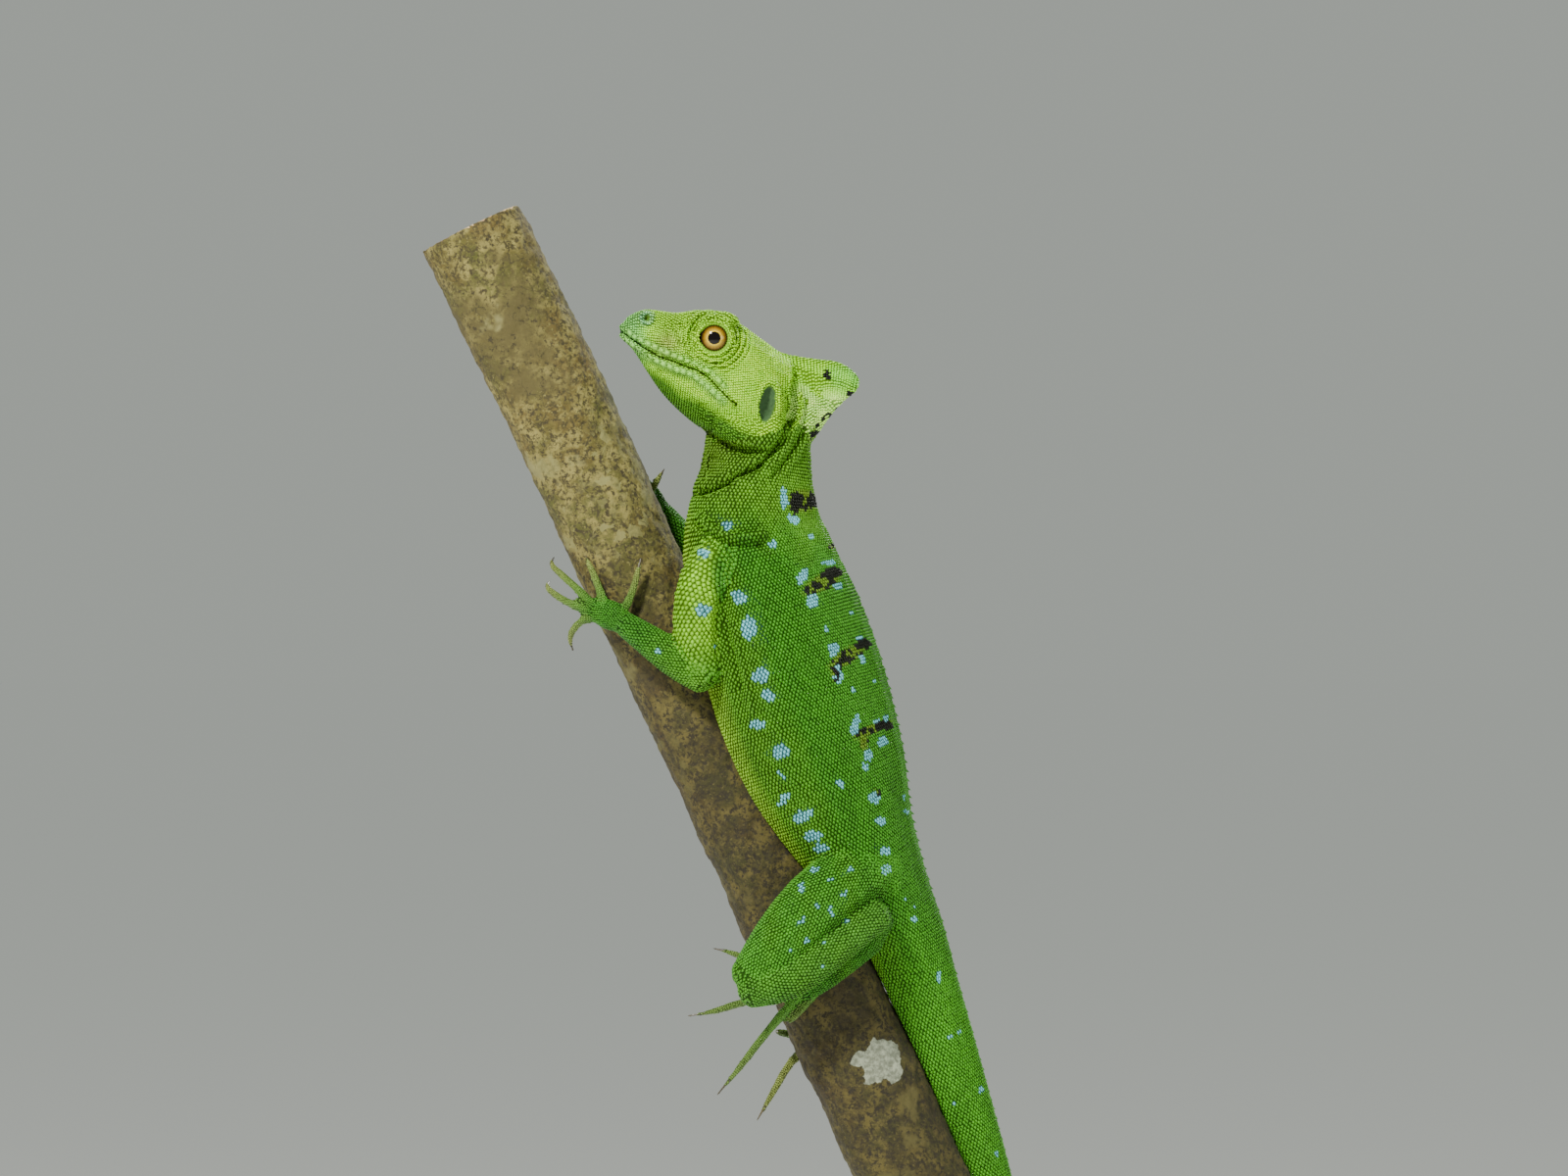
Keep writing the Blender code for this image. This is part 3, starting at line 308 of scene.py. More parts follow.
def sortByBody(axes, points):    # which axis each point belongs to, its row there and its angle
    best = np.full(len(points), 1.0)
    label = np.zeros(len(points), int)
    row = np.zeros(len(points), int)
    angle = np.zeros(len(points))
    for number, axis in enumerate(axes):
        margin = 0.012 if number else 0.03
        low, high = axis["centre"].min(0) - margin, axis["centre"].max(0) + margin
        near = np.where(((points > low) & (points < high)).all(1))[0]
        nearest, turn, beyond = bodyCoordinates(axis, points[near])
        closer = beyond < best[near]
        chosen = near[closer]
        best[chosen] = beyond[closer]
        label[chosen] = number
        row[chosen] = nearest[closer]
        angle[chosen] = turn[closer]
    return label, row, angle


def readArray(items, key, width, kind=np.float32):
    flat = np.empty(len(items) * width, kind)
    items.foreach_get(key, flat)
    return flat.reshape(-1, width)


def readPoints(mesh):
    return readArray(mesh.vertices, "co", 3).astype(float)


def readNormals(mesh):
    return readArray(mesh.vertices, "normal", 3).astype(float)


def readEdges(mesh):
    return readArray(mesh.edges, "vertices", 2, np.int32)


def readCorners(mesh):    # the three points of each triangle
    return readArray(mesh.loops, "vertex_index", 1, np.int32).reshape(-1, 3)


def writePoints(mesh, points):
    mesh.vertices.foreach_set("co", np.asarray(points, np.float32).ravel())
    mesh.update()


def relax(points, edges, rounds):    # evens out the surface; rounds says how often for each point
    count = len(points)
    links = np.bincount(edges.ravel(), minlength=count)
    for done in range(int(rounds.max())):
        for push in (0.55, -0.57):
            mean = np.empty_like(points)
            for k in range(3):
                mean[:, k] = (np.bincount(edges[:, 0], points[edges[:, 1], k], count)
                              + np.bincount(edges[:, 1], points[edges[:, 0], k], count))
            mean /= np.maximum(links, 1)[:, None]
            move = np.where(rounds > done, push, 0.0)[:, None]
            points = points + (mean - points) * move
    return points


def newObject(name, data):
    made = bpy.data.objects.new(name, data)
    bpy.context.scene.collection.objects.link(made)
    return made


def choose(piece):
    bpy.ops.object.select_all(action="DESELECT")
    piece.select_set(True)
    bpy.context.view_layer.objects.active = piece


def applyModifiers(piece):
    choose(piece)
    for modifier in list(piece.modifiers):
        bpy.ops.object.modifier_apply(modifier=modifier.name)


def editMesh(mesh, change):    # change works on the mesh's faces, edges and points
    bm = bmesh.new()
    bm.from_mesh(mesh)
    change(bm)
    bm.to_mesh(mesh)
    bm.free()


def voxelPiece(name, nodeNames, voxel, swell=0.0):    # one closed mesh over some of the CAD nodes
    bm = bmesh.new()
    for node in nodeNames:
        bm.from_mesh(frame["nodes"][node].data)
    bmesh.ops.remove_doubles(bm, verts=bm.verts[:], dist=0.000002)
    bm.normal_update()
    for vert in bm.verts:
        vert.co += vert.normal * swell
    mesh = bpy.data.meshes.new(name)
    bm.to_mesh(mesh)
    bm.free()
    piece = newObject(name, mesh)
    remesh = piece.modifiers.new("fuse", "REMESH")
    remesh.mode = "VOXEL"
    remesh.voxel_size = voxel
    applyModifiers(piece)
    return piece


headForm = {
    "y": -6.0,
    "eye": (-25.4, 187.6),
    "eyeOut": 5.1,
    "crestJoin": (-8.5, 181.0),    # the crest meets the head here
    "joinReach": 5.0,
    "joinTall": 1.6,
    "smoothJoin": 60,
    "foldsAbove": 60.0,
    "fineAbove": 150.0,
}
skinForm = {
    "voxel": 0.00052,
    "swell": 0.0003,      # so that the parted nodes touch before they are fused
    "inset": 0.00012,     # the coat's depth
    "smoothTrunk": 26,
    "smoothLimb": 9,
    "smoothDigit": 2,
    "smoothHead": 5,
    "slender": 0.0035,    # under these half widths the tail is smoothed less
    "thin": 0.0014,
    "triangles": 190000,
}
fleshNodes = ["head", "crest", "neck", "torso", "tail_base", "tail_upper", "tail_lower", "tail_tip"]
fleshNodes += [f"{limb}_{hand}" for limb in ("upper_arm", "forearm", "hand", "thigh", "shank", "foot")
               for hand in ("left", "right")]


# Lines on the side of the head and neck, as pixels of the photograph: points, width and rise in mm
headLines = {
    "mouth": (((633, 339), (647, 348), (658, 356.4), (673.6, 365.9), (688, 370.4), (700.4, 375.7),
               (713, 380.2), (723.6, 387.3), (732.5, 397), (741.4, 406), (752, 415)), 0.36, -0.85),
    "upperLip": (((640, 339.5), (660, 352), (688, 364.5), (713, 374), (727, 383), (740, 397)), 0.75, 0.34),
    "lowerLip": (((638, 347), (658, 363), (685, 376.5), (708, 385), (722, 396), (738, 411)), 0.85, 0.42),
    "chinCrease": (((645, 358), (664, 373), (690, 387), (712, 396), (728, 410)), 0.6, -0.35),
    "cheekRidge": (((665, 343), (690, 355), (712, 367), (728, 376)), 0.8, 0.30),
    "cheekGroove": (((662, 348), (686, 360), (710, 371), (726, 381)), 0.4, -0.28),
    "muzzleRidge": (((655, 321), (675, 323), (695, 324), (708, 319), (722, 314)), 1.1, 0.35),
    "frontFoldA": (((687, 330), (690, 343), (696, 357), (706, 368)), 0.35, -0.45),
    "frontFoldB": (((695, 332), (697, 348), (703, 361), (714, 371)), 0.3, -0.40),
    "frontFoldC": (((680, 334), (684, 348), (690, 360)), 0.35, -0.30),
    "gularFold": (((777, 475), (765, 482), (751, 487), (743, 494), (734, 498), (720, 503), (706, 506)),
                  0.62, -1.7),
    "gularLip": (((779, 468), (763, 474), (747, 479), (736, 487), (722, 493), (708, 496)), 1.2, 0.75),
    "nuchalFold": (((806, 402), (808, 414), (805, 430), (799, 446), (791, 459),
                    (783, 468), (774, 477)), 0.7, -1.35),
    "nuchalRoll": (((789, 392), (795, 410), (793, 430), (787, 447), (778, 460), (768, 468)), 1.1, 0.75),
    "napeRoll": (((815, 400), (815, 420), (809, 442), (799, 460), (786, 475)), 1.1, 0.7),
    "napeFold": (((824, 410), (821, 430), (814, 450), (802, 470), (788, 488)), 0.6, -0.7),
    "napeRollB": (((829, 428), (824, 446), (814, 464), (800, 484)), 0.9, 0.35),
    "jowlFold": (((716, 436), (731, 449), (748.6, 458), (763, 463), (775, 463)), 0.8, -1.3),
    "jowlRoll": (((724, 430), (740, 439), (757, 446), (774, 450)), 2.0, 1.7),
    "cheekCrease": (((716, 416), (735, 424), (754, 429), (768, 428)), 0.9, -0.55),
    "throatFoldA": (((706, 456), (720, 466), (738, 472)), 0.5, -0.3),
    "throatFoldB": (((703, 474), (717, 480), (736, 482)), 0.5, -0.3),
    "shoulderRoll": (((717, 529), (726, 540), (740, 547), (757, 549), (777, 546)), 1.15, 1.7),
    "shoulderFold": (((711, 536), (722, 548), (737, 556), (757, 558), (777, 556)), 0.7, -0.9),
    "shoulderFoldB": (((733, 575), (745, 583), (752, 596)), 0.6, -0.5),
    "armpitFold": (((742, 600), (741, 625), (744, 650), (752, 672), (758, 700)), 0.8, -0.7),
    "armpitRoll": (((750, 640), (755, 668), (762, 695), (768, 722)), 1.0, 0.6),
    "groinFoldA": (((858, 868), (868, 876), (880, 884)), 0.45, -0.5),
    "groinFoldB": (((856, 875), (866, 883), (878, 892)), 0.45, -0.5),
    "crestRidge": (((806, 372), (826, 380), (848, 388), (866, 396)), 1.2, 0.35),
    "crestHollow": (((812, 392), (830, 400), (848, 408)), 1.6, -0.55),
}
# Broad hollows and swellings: centre and half sizes in pixels, turn, and rise in mm
headSwells = {
    "templeHollow": ((804, 394), (10, 14), 15.0, -0.6),
    "throatHollow": ((722, 476), (18, 17), 0.0, -1.2),
    "jawMuscle": ((762, 398), (17, 20), 20.0, 0.55),
    "loreHollow": ((686, 340), (16, 9), -20.0, -0.7),
    "muzzleTip": ((648, 332), (12, 10), 0.0, 0.25),
}
# Rings round the eye: distance from its centre, width and rise in mm
lidRings = ((3.75, 0.30, 0.20), (4.35, 0.2, -0.50), (5.0, 0.36, 0.42), (5.75, 0.22, -0.50),
            (6.35, 0.34, 0.28), (6.95, 0.26, -0.38), (7.5, 0.3, 0.12), (8.1, 0.3, -0.20))
earForm = {"centre": (783.0, 414), "half": (1.75, 4.1), "tilt": 10.0, "depth": 0.85, "rim": 0.4,
           "rimAt": 1.25, "rimWide": 0.2}
nostrilForm = {"centre": (660.6, 325.8), "radius": 0.7, "depth": 1.1, "rim": 0.35,
               "rimAt": 1.35, "rimWide": 0.4}


def fromLine(x, z, line):    # distance in mm from a drawn line on the picture plane
    best = np.full(len(x), 1e9)
    corners = [fromPhoto(*corner) for corner in line]
    for (ax, az), (bx, bz) in zip(corners, corners[1:]):
        length = (bx - ax) ** 2 + (bz - az) ** 2
        t = np.clip(((x - ax) * (bx - ax) + (z - az) * (bz - az)) / length, 0, 1)
        best = np.minimum(best, np.hypot(x - ax - t * (bx - ax), z - az - t * (bz - az)))
    return best


def fromOval(x, z, form):    # 1 on the rim of a tilted oval, less inside it
    cx, cz = fromPhoto(*form["centre"])
    turn = math.radians(form["tilt"])
    across = (x - cx) * math.cos(turn) - (z - cz) * math.sin(turn)
    rise = (x - cx) * math.sin(turn) + (z - cz) * math.cos(turn)
    return np.hypot(across / form["half"][0], rise / form["half"][1])


def fromEye(x, z):
    return np.hypot(x - headForm["eye"][0], z - headForm["eye"][1])


def fromNostril(x, z):
    nostrilX, nostrilZ = fromPhoto(*nostrilForm["centre"])
    return np.hypot(x - nostrilX, z - nostrilZ)


def bell(gap, width):
    return np.exp(-(gap / width) ** 2)


def planeOf(points):    # the picture plane's x and z, in mm
    return points[:, 0] / mm, points[:, 2] / mm - lift


def onParts(label, *names):    # the points on the lengths of body whose names start so
    return np.isin(label, [k for k, name in enumerate(axisNames) if name.startswith(names)])


def sculptHead(points, normals, label):    # folds, lips, lids, ear and nostril, alike on both sides
    x, z = planeOf(points)
    belongs = onParts(label, "head", "crest", "trunk")
    sideways = np.clip(np.abs(normals[:, 1]) * 1.8, 0, 1) * belongs * (z > headForm["foldsAbove"])
    rise = np.zeros(len(points))
    for line, width, height in headLines.values():
        rise += height * bell(fromLine(x, z, line), width)
    step = photoScale["mmPerPixel"]
    for centre, half, tilt, height in headSwells.values():
        form = {"centre": centre, "half": (half[0] * step, half[1] * step), "tilt": tilt}
        rise += height * bell(fromOval(x, z, form), 0.8)
    away = fromEye(x, z)
    onHead = onParts(label, "head")
    for radius, width, height in lidRings:
        rise += height * bell(away - radius, width) * onHead
    ear = fromOval(x, z, earForm)
    rise -= earForm["depth"] * np.clip((1.05 - ear) * 4, 0, 1) * onHead
    rise += earForm["rim"] * bell(ear - earForm["rimAt"], earForm["rimWide"]) * onHead
    gap = fromNostril(x, z)
    rise -= nostrilForm["depth"] * bell(gap, nostrilForm["radius"]) * onHead
    rise += nostrilForm["rim"] * bell(gap - nostrilForm["rimAt"], nostrilForm["rimWide"]) * onHead
    return points + normals * (rise * sideways * mm)[:, None]


keelForm = {"below": 162.0, "turn": 0.6, "fall": 0.5, "under": 0.0002}


def shaveKeel(points, label, row, angle):    # the fine comb takes the place of the solids' teeth
    axis = axes[0]
    at = row * (label == 0)
    near = (label == 0) & (np.abs(angle) < keelForm["turn"]) & (planeOf(points)[1] < keelForm["below"])
    up = axis["up"][at]
    high = ((points - axis["centre"][at]) * up).sum(1)
    limit = axis["halfUp"][at] * (1.0 - keelForm["fall"] * angle ** 2) - keelForm["under"]
    excess = np.where(near, np.maximum(high - limit, 0), 0)
    return points - up * excess[:, None]


def refineHead(piece, label):    # twice as many points where the folds are
    z = planeOf(readPoints(piece.data))[1]
    fine = onParts(label, "head", "crest") | ((label == 0) & (z > headForm["fineAbove"]))

    def split(bm):
        edges = [e for e in bm.edges if fine[e.verts[0].index] and fine[e.verts[1].index]]
        bmesh.ops.subdivide_edges(bm, edges=edges, cuts=1, use_grid_fill=True)

    editMesh(piece.data, split)


axes = makeAxes()
axisNames = [axis["name"] for axis in axes]
axisKind = np.array([0 if name == "trunk" else 1 if name in ("head", "crest")
                     else 3 if name[:4] in ("fing", "toes") else 2 for name in axisNames])
skin = voxelPiece("skin", fleshNodes, skinForm["voxel"], skinForm["swell"])
points = readPoints(skin.data)
label, row, angle = sortByBody(axes, points)
print("skin fused:", len(points), "points")

rounds = np.array((skinForm["smoothTrunk"], skinForm["smoothHead"], skinForm["smoothLimb"],
                   skinForm["smoothDigit"]))[axisKind[label]]
trunkHalf = axes[0]["halfSide"][np.where(label == 0, row, 0)]
rounds = np.where((label == 0) & (trunkHalf < skinForm["slender"]), skinForm["smoothLimb"], rounds)
rounds = np.where((label == 0) & (trunkHalf < skinForm["thin"]), skinForm["smoothDigit"], rounds)
points = relax(points, readEdges(skin.data), rounds)
writePoints(skin.data, points)
points = points - readNormals(skin.data) * (skinForm["swell"] + skinForm["inset"])
points = shaveKeel(points, label, row, angle)
writePoints(skin.data, points)
refineHead(skin, label)
points = readPoints(skin.data)
label, row, angle = sortByBody(axes, points)
x, z = planeOf(points)
joinX, joinZ = headForm["crestJoin"]
join = bell(np.hypot(x - joinX, (z - joinZ) / headForm["joinTall"]), headForm["joinReach"])
rounds = np.where(axisKind[label] < 2, 2 + headForm["smoothJoin"] * join, 0)
points = relax(points, readEdges(skin.data), rounds)
writePoints(skin.data, points)
points = sculptHead(points, readNormals(skin.data), label)
writePoints(skin.data, points)
thin = skin.modifiers.new("thin", "DECIMATE")      # keeps the folds and thins what is smooth
thin.ratio = skinForm["triangles"] / sum(len(face.vertices) - 2 for face in skin.data.polygons)
thin.use_collapse_triangulate = True
applyModifiers(skin)
points = readPoints(skin.data)
label, row, angle = sortByBody(axes, points)
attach(skin, "root")
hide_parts(*fleshNodes)
skin.data.shade_smooth()
print("skin shaped:", len(points), "points")


# Colours, in the order that the body is painted
tints = {
    "back": (0.042, 0.190, 0.012),
    "flank": (0.030, 0.165, 0.005),
    "lowFlank": (0.055, 0.185, 0.005),
    "belly": (0.170, 0.330, 0.015),
    # the throat's dark green is partly its own tone, partly painted shade under the head
    "shadedThroat": (0.060, 0.140, 0.006),
    "neck": (0.075, 0.220, 0.008),
    "head": (0.300, 0.700, 0.014),
    "headTop": (0.255, 0.560, 0.020),
    "snout": (0.120, 0.400, 0.110),
    "lip": (0.200, 0.500, 0.090),
    "loreal": (0.230, 0.270, 0.060),
    "crest": (0.250, 0.620, 0.014),
    # crestLow: the pale lower crest, partly its own pale tone, partly painted sunlight
    "crestLow": (0.420, 0.900, 0.140),
    "crestRim": (0.170, 0.520, 0.045),
    # the jaw's dark green is partly its own tone, partly painted shade under the head
    "jaw": (0.055, 0.180, 0.006),
    "ear": (0.050, 0.105, 0.042),
    "arm": (0.200, 0.480, 0.014),
    # hand: dark green of palms, soles and forearms, partly their own tone, partly painted shade
    "hand": (0.028, 0.140, 0.008),
    "finger": (0.150, 0.190, 0.045),
    "horn": (0.060, 0.048, 0.020),
    "thigh": (0.042, 0.195, 0.010),
    "shank": (0.046, 0.175, 0.012),
    "toe": (0.080, 0.140, 0.025),
    "tail": (0.050, 0.235, 0.008),
    "tailBand": (0.050, 0.120, 0.014),
    "spot": (0.120, 0.390, 0.440),
    "mottle": (0.110, 0.170, 0.012),
    "black": (0.008, 0.010, 0.006),
}
# Pale blue spots as pixels of the photograph: x, y, half width, half height, turn in degrees
bodySpots = (
    (743, 537, 6, 5, 0), (755, 609, 8, 6.5, -35), (765, 640, 8.5, 12, 0), (776, 688, 10, 7, 30),
    (784, 708, 8, 5, -20), (774, 737, 8, 5, -5), (796, 764, 9, 8, 30), (798, 788, 4.5, 2.5, -20),
    (800, 812, 8, 4, 45), (819, 829, 12, 5.5, 25), (830, 850, 10, 5, 5), (838, 862, 8, 5, 0),
    (800, 509, 3.5, 12, 5), (809, 530, 7, 4, -35), (789, 555, 4, 4, 0), (827, 547, 4, 2.5, -30),
    (818, 588, 4.5, 10, -20), (845, 574, 8, 2.5, -5), (828, 612, 6.5, 8, 0), (854, 597, 5, 4, 0),
    (850, 661, 6, 7, -15), (854, 686, 5, 10, 0), (877, 650, 4, 4, 0), (879, 671, 3.5, 6, 20),
    (871, 738, 4.5, 11, -15), (893, 735, 4, 3, 0), (902, 731, 3, 3, 0), (899, 755, 5, 5, 0),
    (884, 768, 4.5, 7, 0), (881, 780, 3, 4, 30), (857, 796, 5, 4, -30), (891, 811, 6, 6, 0),
    (897, 835, 6, 4.5, -15), (901, 865, 6.5, 4, 0), (903, 884, 6, 6, 0), (842, 640, 2.5, 2.5, 0),
    (869, 625, 2.5, 2.5, 0), (869, 703, 2, 2.5, 0), (890, 693, 2, 2, 0), (920, 812, 1.5, 3, 0),
    (922, 826, 4, 1.6, -10), (932, 935, 3, 3, 0), (932, 922, 1.6, 3, 0), (923, 914, 1.6, 1.6, 0),
    (957, 995, 2.5, 5, 0), (968, 1056, 3, 2.5, 0), (978, 1052, 3, 3, 0), (1001, 1112, 2.5, 3, 0),
    (974, 1124, 2, 3, 0), (1016, 1178, 2.5, 3, 0),
)
limbSpots = (
    (719, 565, 6, 5, 0), (719, 621, 7, 6, 0), (731, 657, 1.6, 3, 0), (673, 664, 4, 3, 20),
    (832, 884, 5, 2.5, 0), (818, 902, 3, 6, 10), (834, 919, 2.5, 2.5, 0), (846, 922, 3, 2, 0),
    (848, 927, 3, 2.5, 0), (861, 907, 5, 2.5, 25), (847, 894, 3, 1.6, 0), (868, 884, 3, 2, 0),
    (820, 933, 2.5, 2.5, 0), (815, 937, 2.5, 2.5, 0), (862, 936, 2.5, 3, 0), (823, 954, 2.4, 2.4, 0),
    (840, 957, 2, 2, 0), (808, 963, 2.4, 2.4, 0), (838, 980, 3, 2, 0),
)
# Black marks: whole patches, and mottled ones that break up between the scales
blackPatches = (
    (811, 514, 5.5, 11, 0), (829, 511, 6, 7, 0), (849, 584, 9.5, 6, -10), (881, 656, 7, 5, -20),
    (903, 738, 6.5, 4, -15), (843, 384, 3.5, 5, 0), (868, 404, 6, 3, -35),
)
blackMottles = (
    (818, 511, 15, 11, 0), (838, 594, 21, 8, 28), (864, 668, 21, 7, 33), (889, 742, 20, 5, 22),
    (880, 754, 4, 9, 0), (852, 684, 5, 10, 0), (838, 434, 18, 5, 52), (854, 420, 12, 4, 45),
    (893, 806, 4, 3, 0), (848, 557, 4, 3, 0),
)


def ripple(points, size, seed):    # smooth unevenness between about -1 and 1, from crossing waves
    draw = np.random.default_rng(seed)
    ways = unit(draw.normal(size=(7, 3)))
    made = np.zeros(len(points))
    for way in ways:
        made += np.sin(points @ way * (2 * math.pi / size) * draw.uniform(0.7, 1.4) + draw.uniform(0, 6.28))
    return made / 3.2


def layTints(colour, *layers):    # each layer is a tint's name and how much of it shows at each point
    for name, share in layers:
        share = np.clip(share, 0, 1)[:, None]
        colour = colour * (1 - share) + np.array(tints[name]) * share
    return colour


def inOvals(x, z, ovals, edge):    # 1 inside any of the ovals, 0 outside
    step = photoScale["mmPerPixel"]
    inside = np.zeros(len(x))
    for px, py, wide, high, tilt in ovals:
        form = {"centre": (px, py), "half": (wide * step, high * step), "tilt": -tilt}
        inside = np.maximum(inside, np.clip((1.0 + edge - fromOval(x, z, form)) / (2 * edge), 0, 1))
    return inside


tailForm = {"greenBelow": 62.0, "bandLength": 19.0, "bandsFrom": 215.0, "bandsFade": 110.0}    # in mm
# On the head, in mm: where its top's colour starts, the lore, the snout, and the jaw's line and slope
headPaint = {"top": 189.5, "lore": (-36.0, 186.5), "snout": -39.5, "jaw": (-45.5, 187.2), "jawFall": 0.64,
             "crestPale": 177.5, "crestRim": 174.5}
limbTints = {("upperArm", "forearm"): "arm", ("palm", "foot"): "hand",
             ("thigh",): "thigh", ("shank",): "shank"}


def tintOf(points, label, row, angle, crisp=False):    # crisp paints each scale in one tint
    x, z = planeOf(points)
    down = 1 - np.cos(angle)                        # 0 on the back, 2 on the belly
    patchy = ripple(points, 0.011, 3)
    onTrunk = label == 0
    reach = axes[0]["run"][np.where(onTrunk, row, 0)] / mm
    bands = np.clip(np.sin(reach / tailForm["bandLength"] * 2 * math.pi) * 2.2 - 1.0 + 0.5 * patchy, 0, 1)
    bands *= np.clip((reach - tailForm["bandsFrom"]) / tailForm["bandsFade"], 0, 0.85)
    streaky = inOvals(x, z, blackMottles, 0.25)
    colour = layTints(
        np.tile(tints["flank"], (len(points), 1)), ("back", 1.0 - down * 1.4),
        ("lowFlank", (down - 1.1) * 2.2 + 0.2 * patchy), ("belly", (down - 1.72) * 3.6),
        # the throat tint darkens the underside by the neck: partly its own tone, partly painted shade
        ("neck", (z - 138) / 14 + 0.2 * patchy), ("shadedThroat", (z - 150) / 10 * (down > 0.9) * (down - 0.9)),
        ("tail", np.clip((tailForm["greenBelow"] - z) / 25, 0, 1) * onTrunk * 0.9),
        ("tailBand", bands * onTrunk), ("mottle", streaky * 0.7))
    spots = inOvals(x, z, bodySpots, 0.12) * (np.abs(np.sin(angle)) > 0.1)
    dark = np.maximum(inOvals(x, z, blackPatches, 0.15), streaky * (ripple(points, 0.0021, 9) > 0.0))

    def lay(here, *layers):
        colour[here] = layTints(colour[here], *((name, share[here]) for name, share in layers))

    full = np.ones(len(points))
    for names, tint in limbTints.items():
        lay(onParts(label, *names), (tint, full), ("lowFlank", 0.25 * patchy + 0.1))
    elbow, shoulder = (row - 27) / 14.0, (x + 27.5) / 6.0 + 0.3 * patchy
    lay(onParts(label, "upperArm"), ("thigh", np.maximum(elbow, shoulder)))
    # the forearm turns to the dark hand tint: partly its own tone, partly painted shade
    lay(onParts(label, "forearm"), ("hand", 0.75 + row / 120.0))
    spots = np.where(axisKind[label] == 2, inOvals(x, z, limbSpots, 0.15), spots)
    share = row / rowCount["digit"]
    digits = axisKind[label] == 3
    lay(digits, ("hand", full), ("finger", share * 1.3))
    lay(onParts(label, "toes"), ("shank", full), ("toe", share * 1.5))
    lay(digits, ("horn", (share - 0.87) * 25))
    lay(onParts(label, "toesRight3"), ("finger", share * 2 + 0.3))
    onCrest, onHead = onParts(label, "crest"), onParts(label, "head", "crest")
    colour[onHead] = paintHead(points[onHead], x[onHead], z[onHead], onCrest[onHead])
    spots = spots * ~digits * ~onHead
    dark = dark * (onTrunk | onCrest)
    if crisp:
        spots, dark = (spots > 0.5) * 1.0, (dark > 0.5) * 1.0
    colour = layTints(colour, ("spot", spots), ("black", dark))
    return colour * (1 + 0.10 * ripple(points, 0.004, 5) + 0.06 * ripple(points, 0.0012, 6))[:, None]


def paintHead(points, x, z, onCrest):
    patchy = ripple(points, 0.006, 12)
    (loreX, loreZ), (jawX, jawZ) = headPaint["lore"], headPaint["jaw"]
    below = jawZ - z - headPaint["jawFall"] * (x - jawX)    # mm under a line from the snout down the jaw
    away = {name: fromLine(x, z, headLines[name][0])
            for name in ("mouth", "upperLip", "lowerLip", "nuchalFold")}
    colour = layTints(
        np.tile(tints["head"], (len(points), 1)), ("headTop", (z - headPaint["top"]) / 3 + 0.2 * patchy),
        ("loreal", bell(np.hypot(x - loreX, z - loreZ), 3.4) * 0.8),
        ("snout", np.clip((headPaint["snout"] - x) / 3.5, 0, 1) * 0.8),
        # darker below the jaw line: partly the jaw's and throat's own tone, partly painted shade under the
        # head
        ("jaw", (below - 1.5) / 3.0 + 0.15 * patchy), ("shadedThroat", (below - 9.0) / 5.0),
        ("lip", bell(away["upperLip"], 1.0) * 0.55), ("lip", bell(away["lowerLip"], 1.1) * 0.75),
        # black along the mouth is painted shade in the groove between the lips
        ("black", (1 - away["mouth"] / 0.4) * 0.9), ("neck", bell(away["nuchalFold"], 1.6) * 0.7),
        ("spot", bell(fromNostril(x, z) - 1.2, 0.5) * 0.35),
        ("ear", np.clip((1.1 - fromOval(x, z, earForm)) * 6, 0, 1) * ~onCrest))
    # the pale lower crest is partly its own tone, partly painted sunlight
    pale = np.clip((headPaint["crestPale"] - z - 0.1 * x + patchy) / 3.5, 0, 1)
    rim = np.clip(x / 4.0 + patchy * 0.4, 0, 1) * np.clip((z - headPaint["crestRim"]) / 3, 0, 1)
    crest = layTints(colour, ("crest", np.full(len(x), 0.8)), ("crestLow", pale * 0.9), ("crestRim", rim))
    return np.where(onCrest[:, None], crest, colour)


def dressTint(mesh, colours):    # the painted colour as a point attribute
    layer = mesh.color_attributes.new("tint", "FLOAT_COLOR", "POINT")
    flat = np.ones((len(mesh.vertices), 4), np.float32)
    flat[:, :3] = np.clip(colours, 0, 1)
    layer.data.foreach_set("color", flat.ravel())


def setInputs(node, inputs):    # each input takes a plain value, or what another node gives out
    for key, value in inputs.items():
        if isinstance(value, bpy.types.NodeSocket):
            node.id_data.links.new(value, node.inputs[key])
        else:
            node.inputs[key].default_value = value
    return node


def addNode(tree, kind, inputs, **settings):
    node = tree.nodes.new("ShaderNode" + kind)
    for name, value in settings.items():
        setattr(node, name, value)
    return setInputs(node, inputs)


def newPaint(name):    # a material with its node tree, its shader and its object coordinates
    made = bpy.data.materials.new(name)
    made.use_nodes = True
    tree = made.node_tree
    return made, tree, tree.nodes["Principled BSDF"], addNode(tree, "TexCoord", {}).outputs["Object"]


def attributeNode(tree, name, give):
    return addNode(tree, "Attribute", {}, attribute_name=name).outputs[give]


def noiseNode(tree, place, scale, detail=4.0, rough=0.6, give="Fac"):
    inputs = {"Vector": place, "Scale": scale, "Detail": detail, "Roughness": rough}
    return addNode(tree, "TexNoise", inputs).outputs[give]


def mathNode(tree, operation, *values):
    return addNode(tree, "Math", dict(enumerate(values)), operation=operation).outputs["Value"]


def vectorNode(tree, operation, *values, give="Vector"):
    return addNode(tree, "VectorMath", dict(enumerate(values)), operation=operation).outputs[give]


def stepNode(tree, source, low, high):    # 0 below low, 1 above high
    return addNode(tree, "MapRange", {"Value": source, "From Min": low, "From Max": high},
                   interpolation_type="SMOOTHSTEP").outputs["Result"]


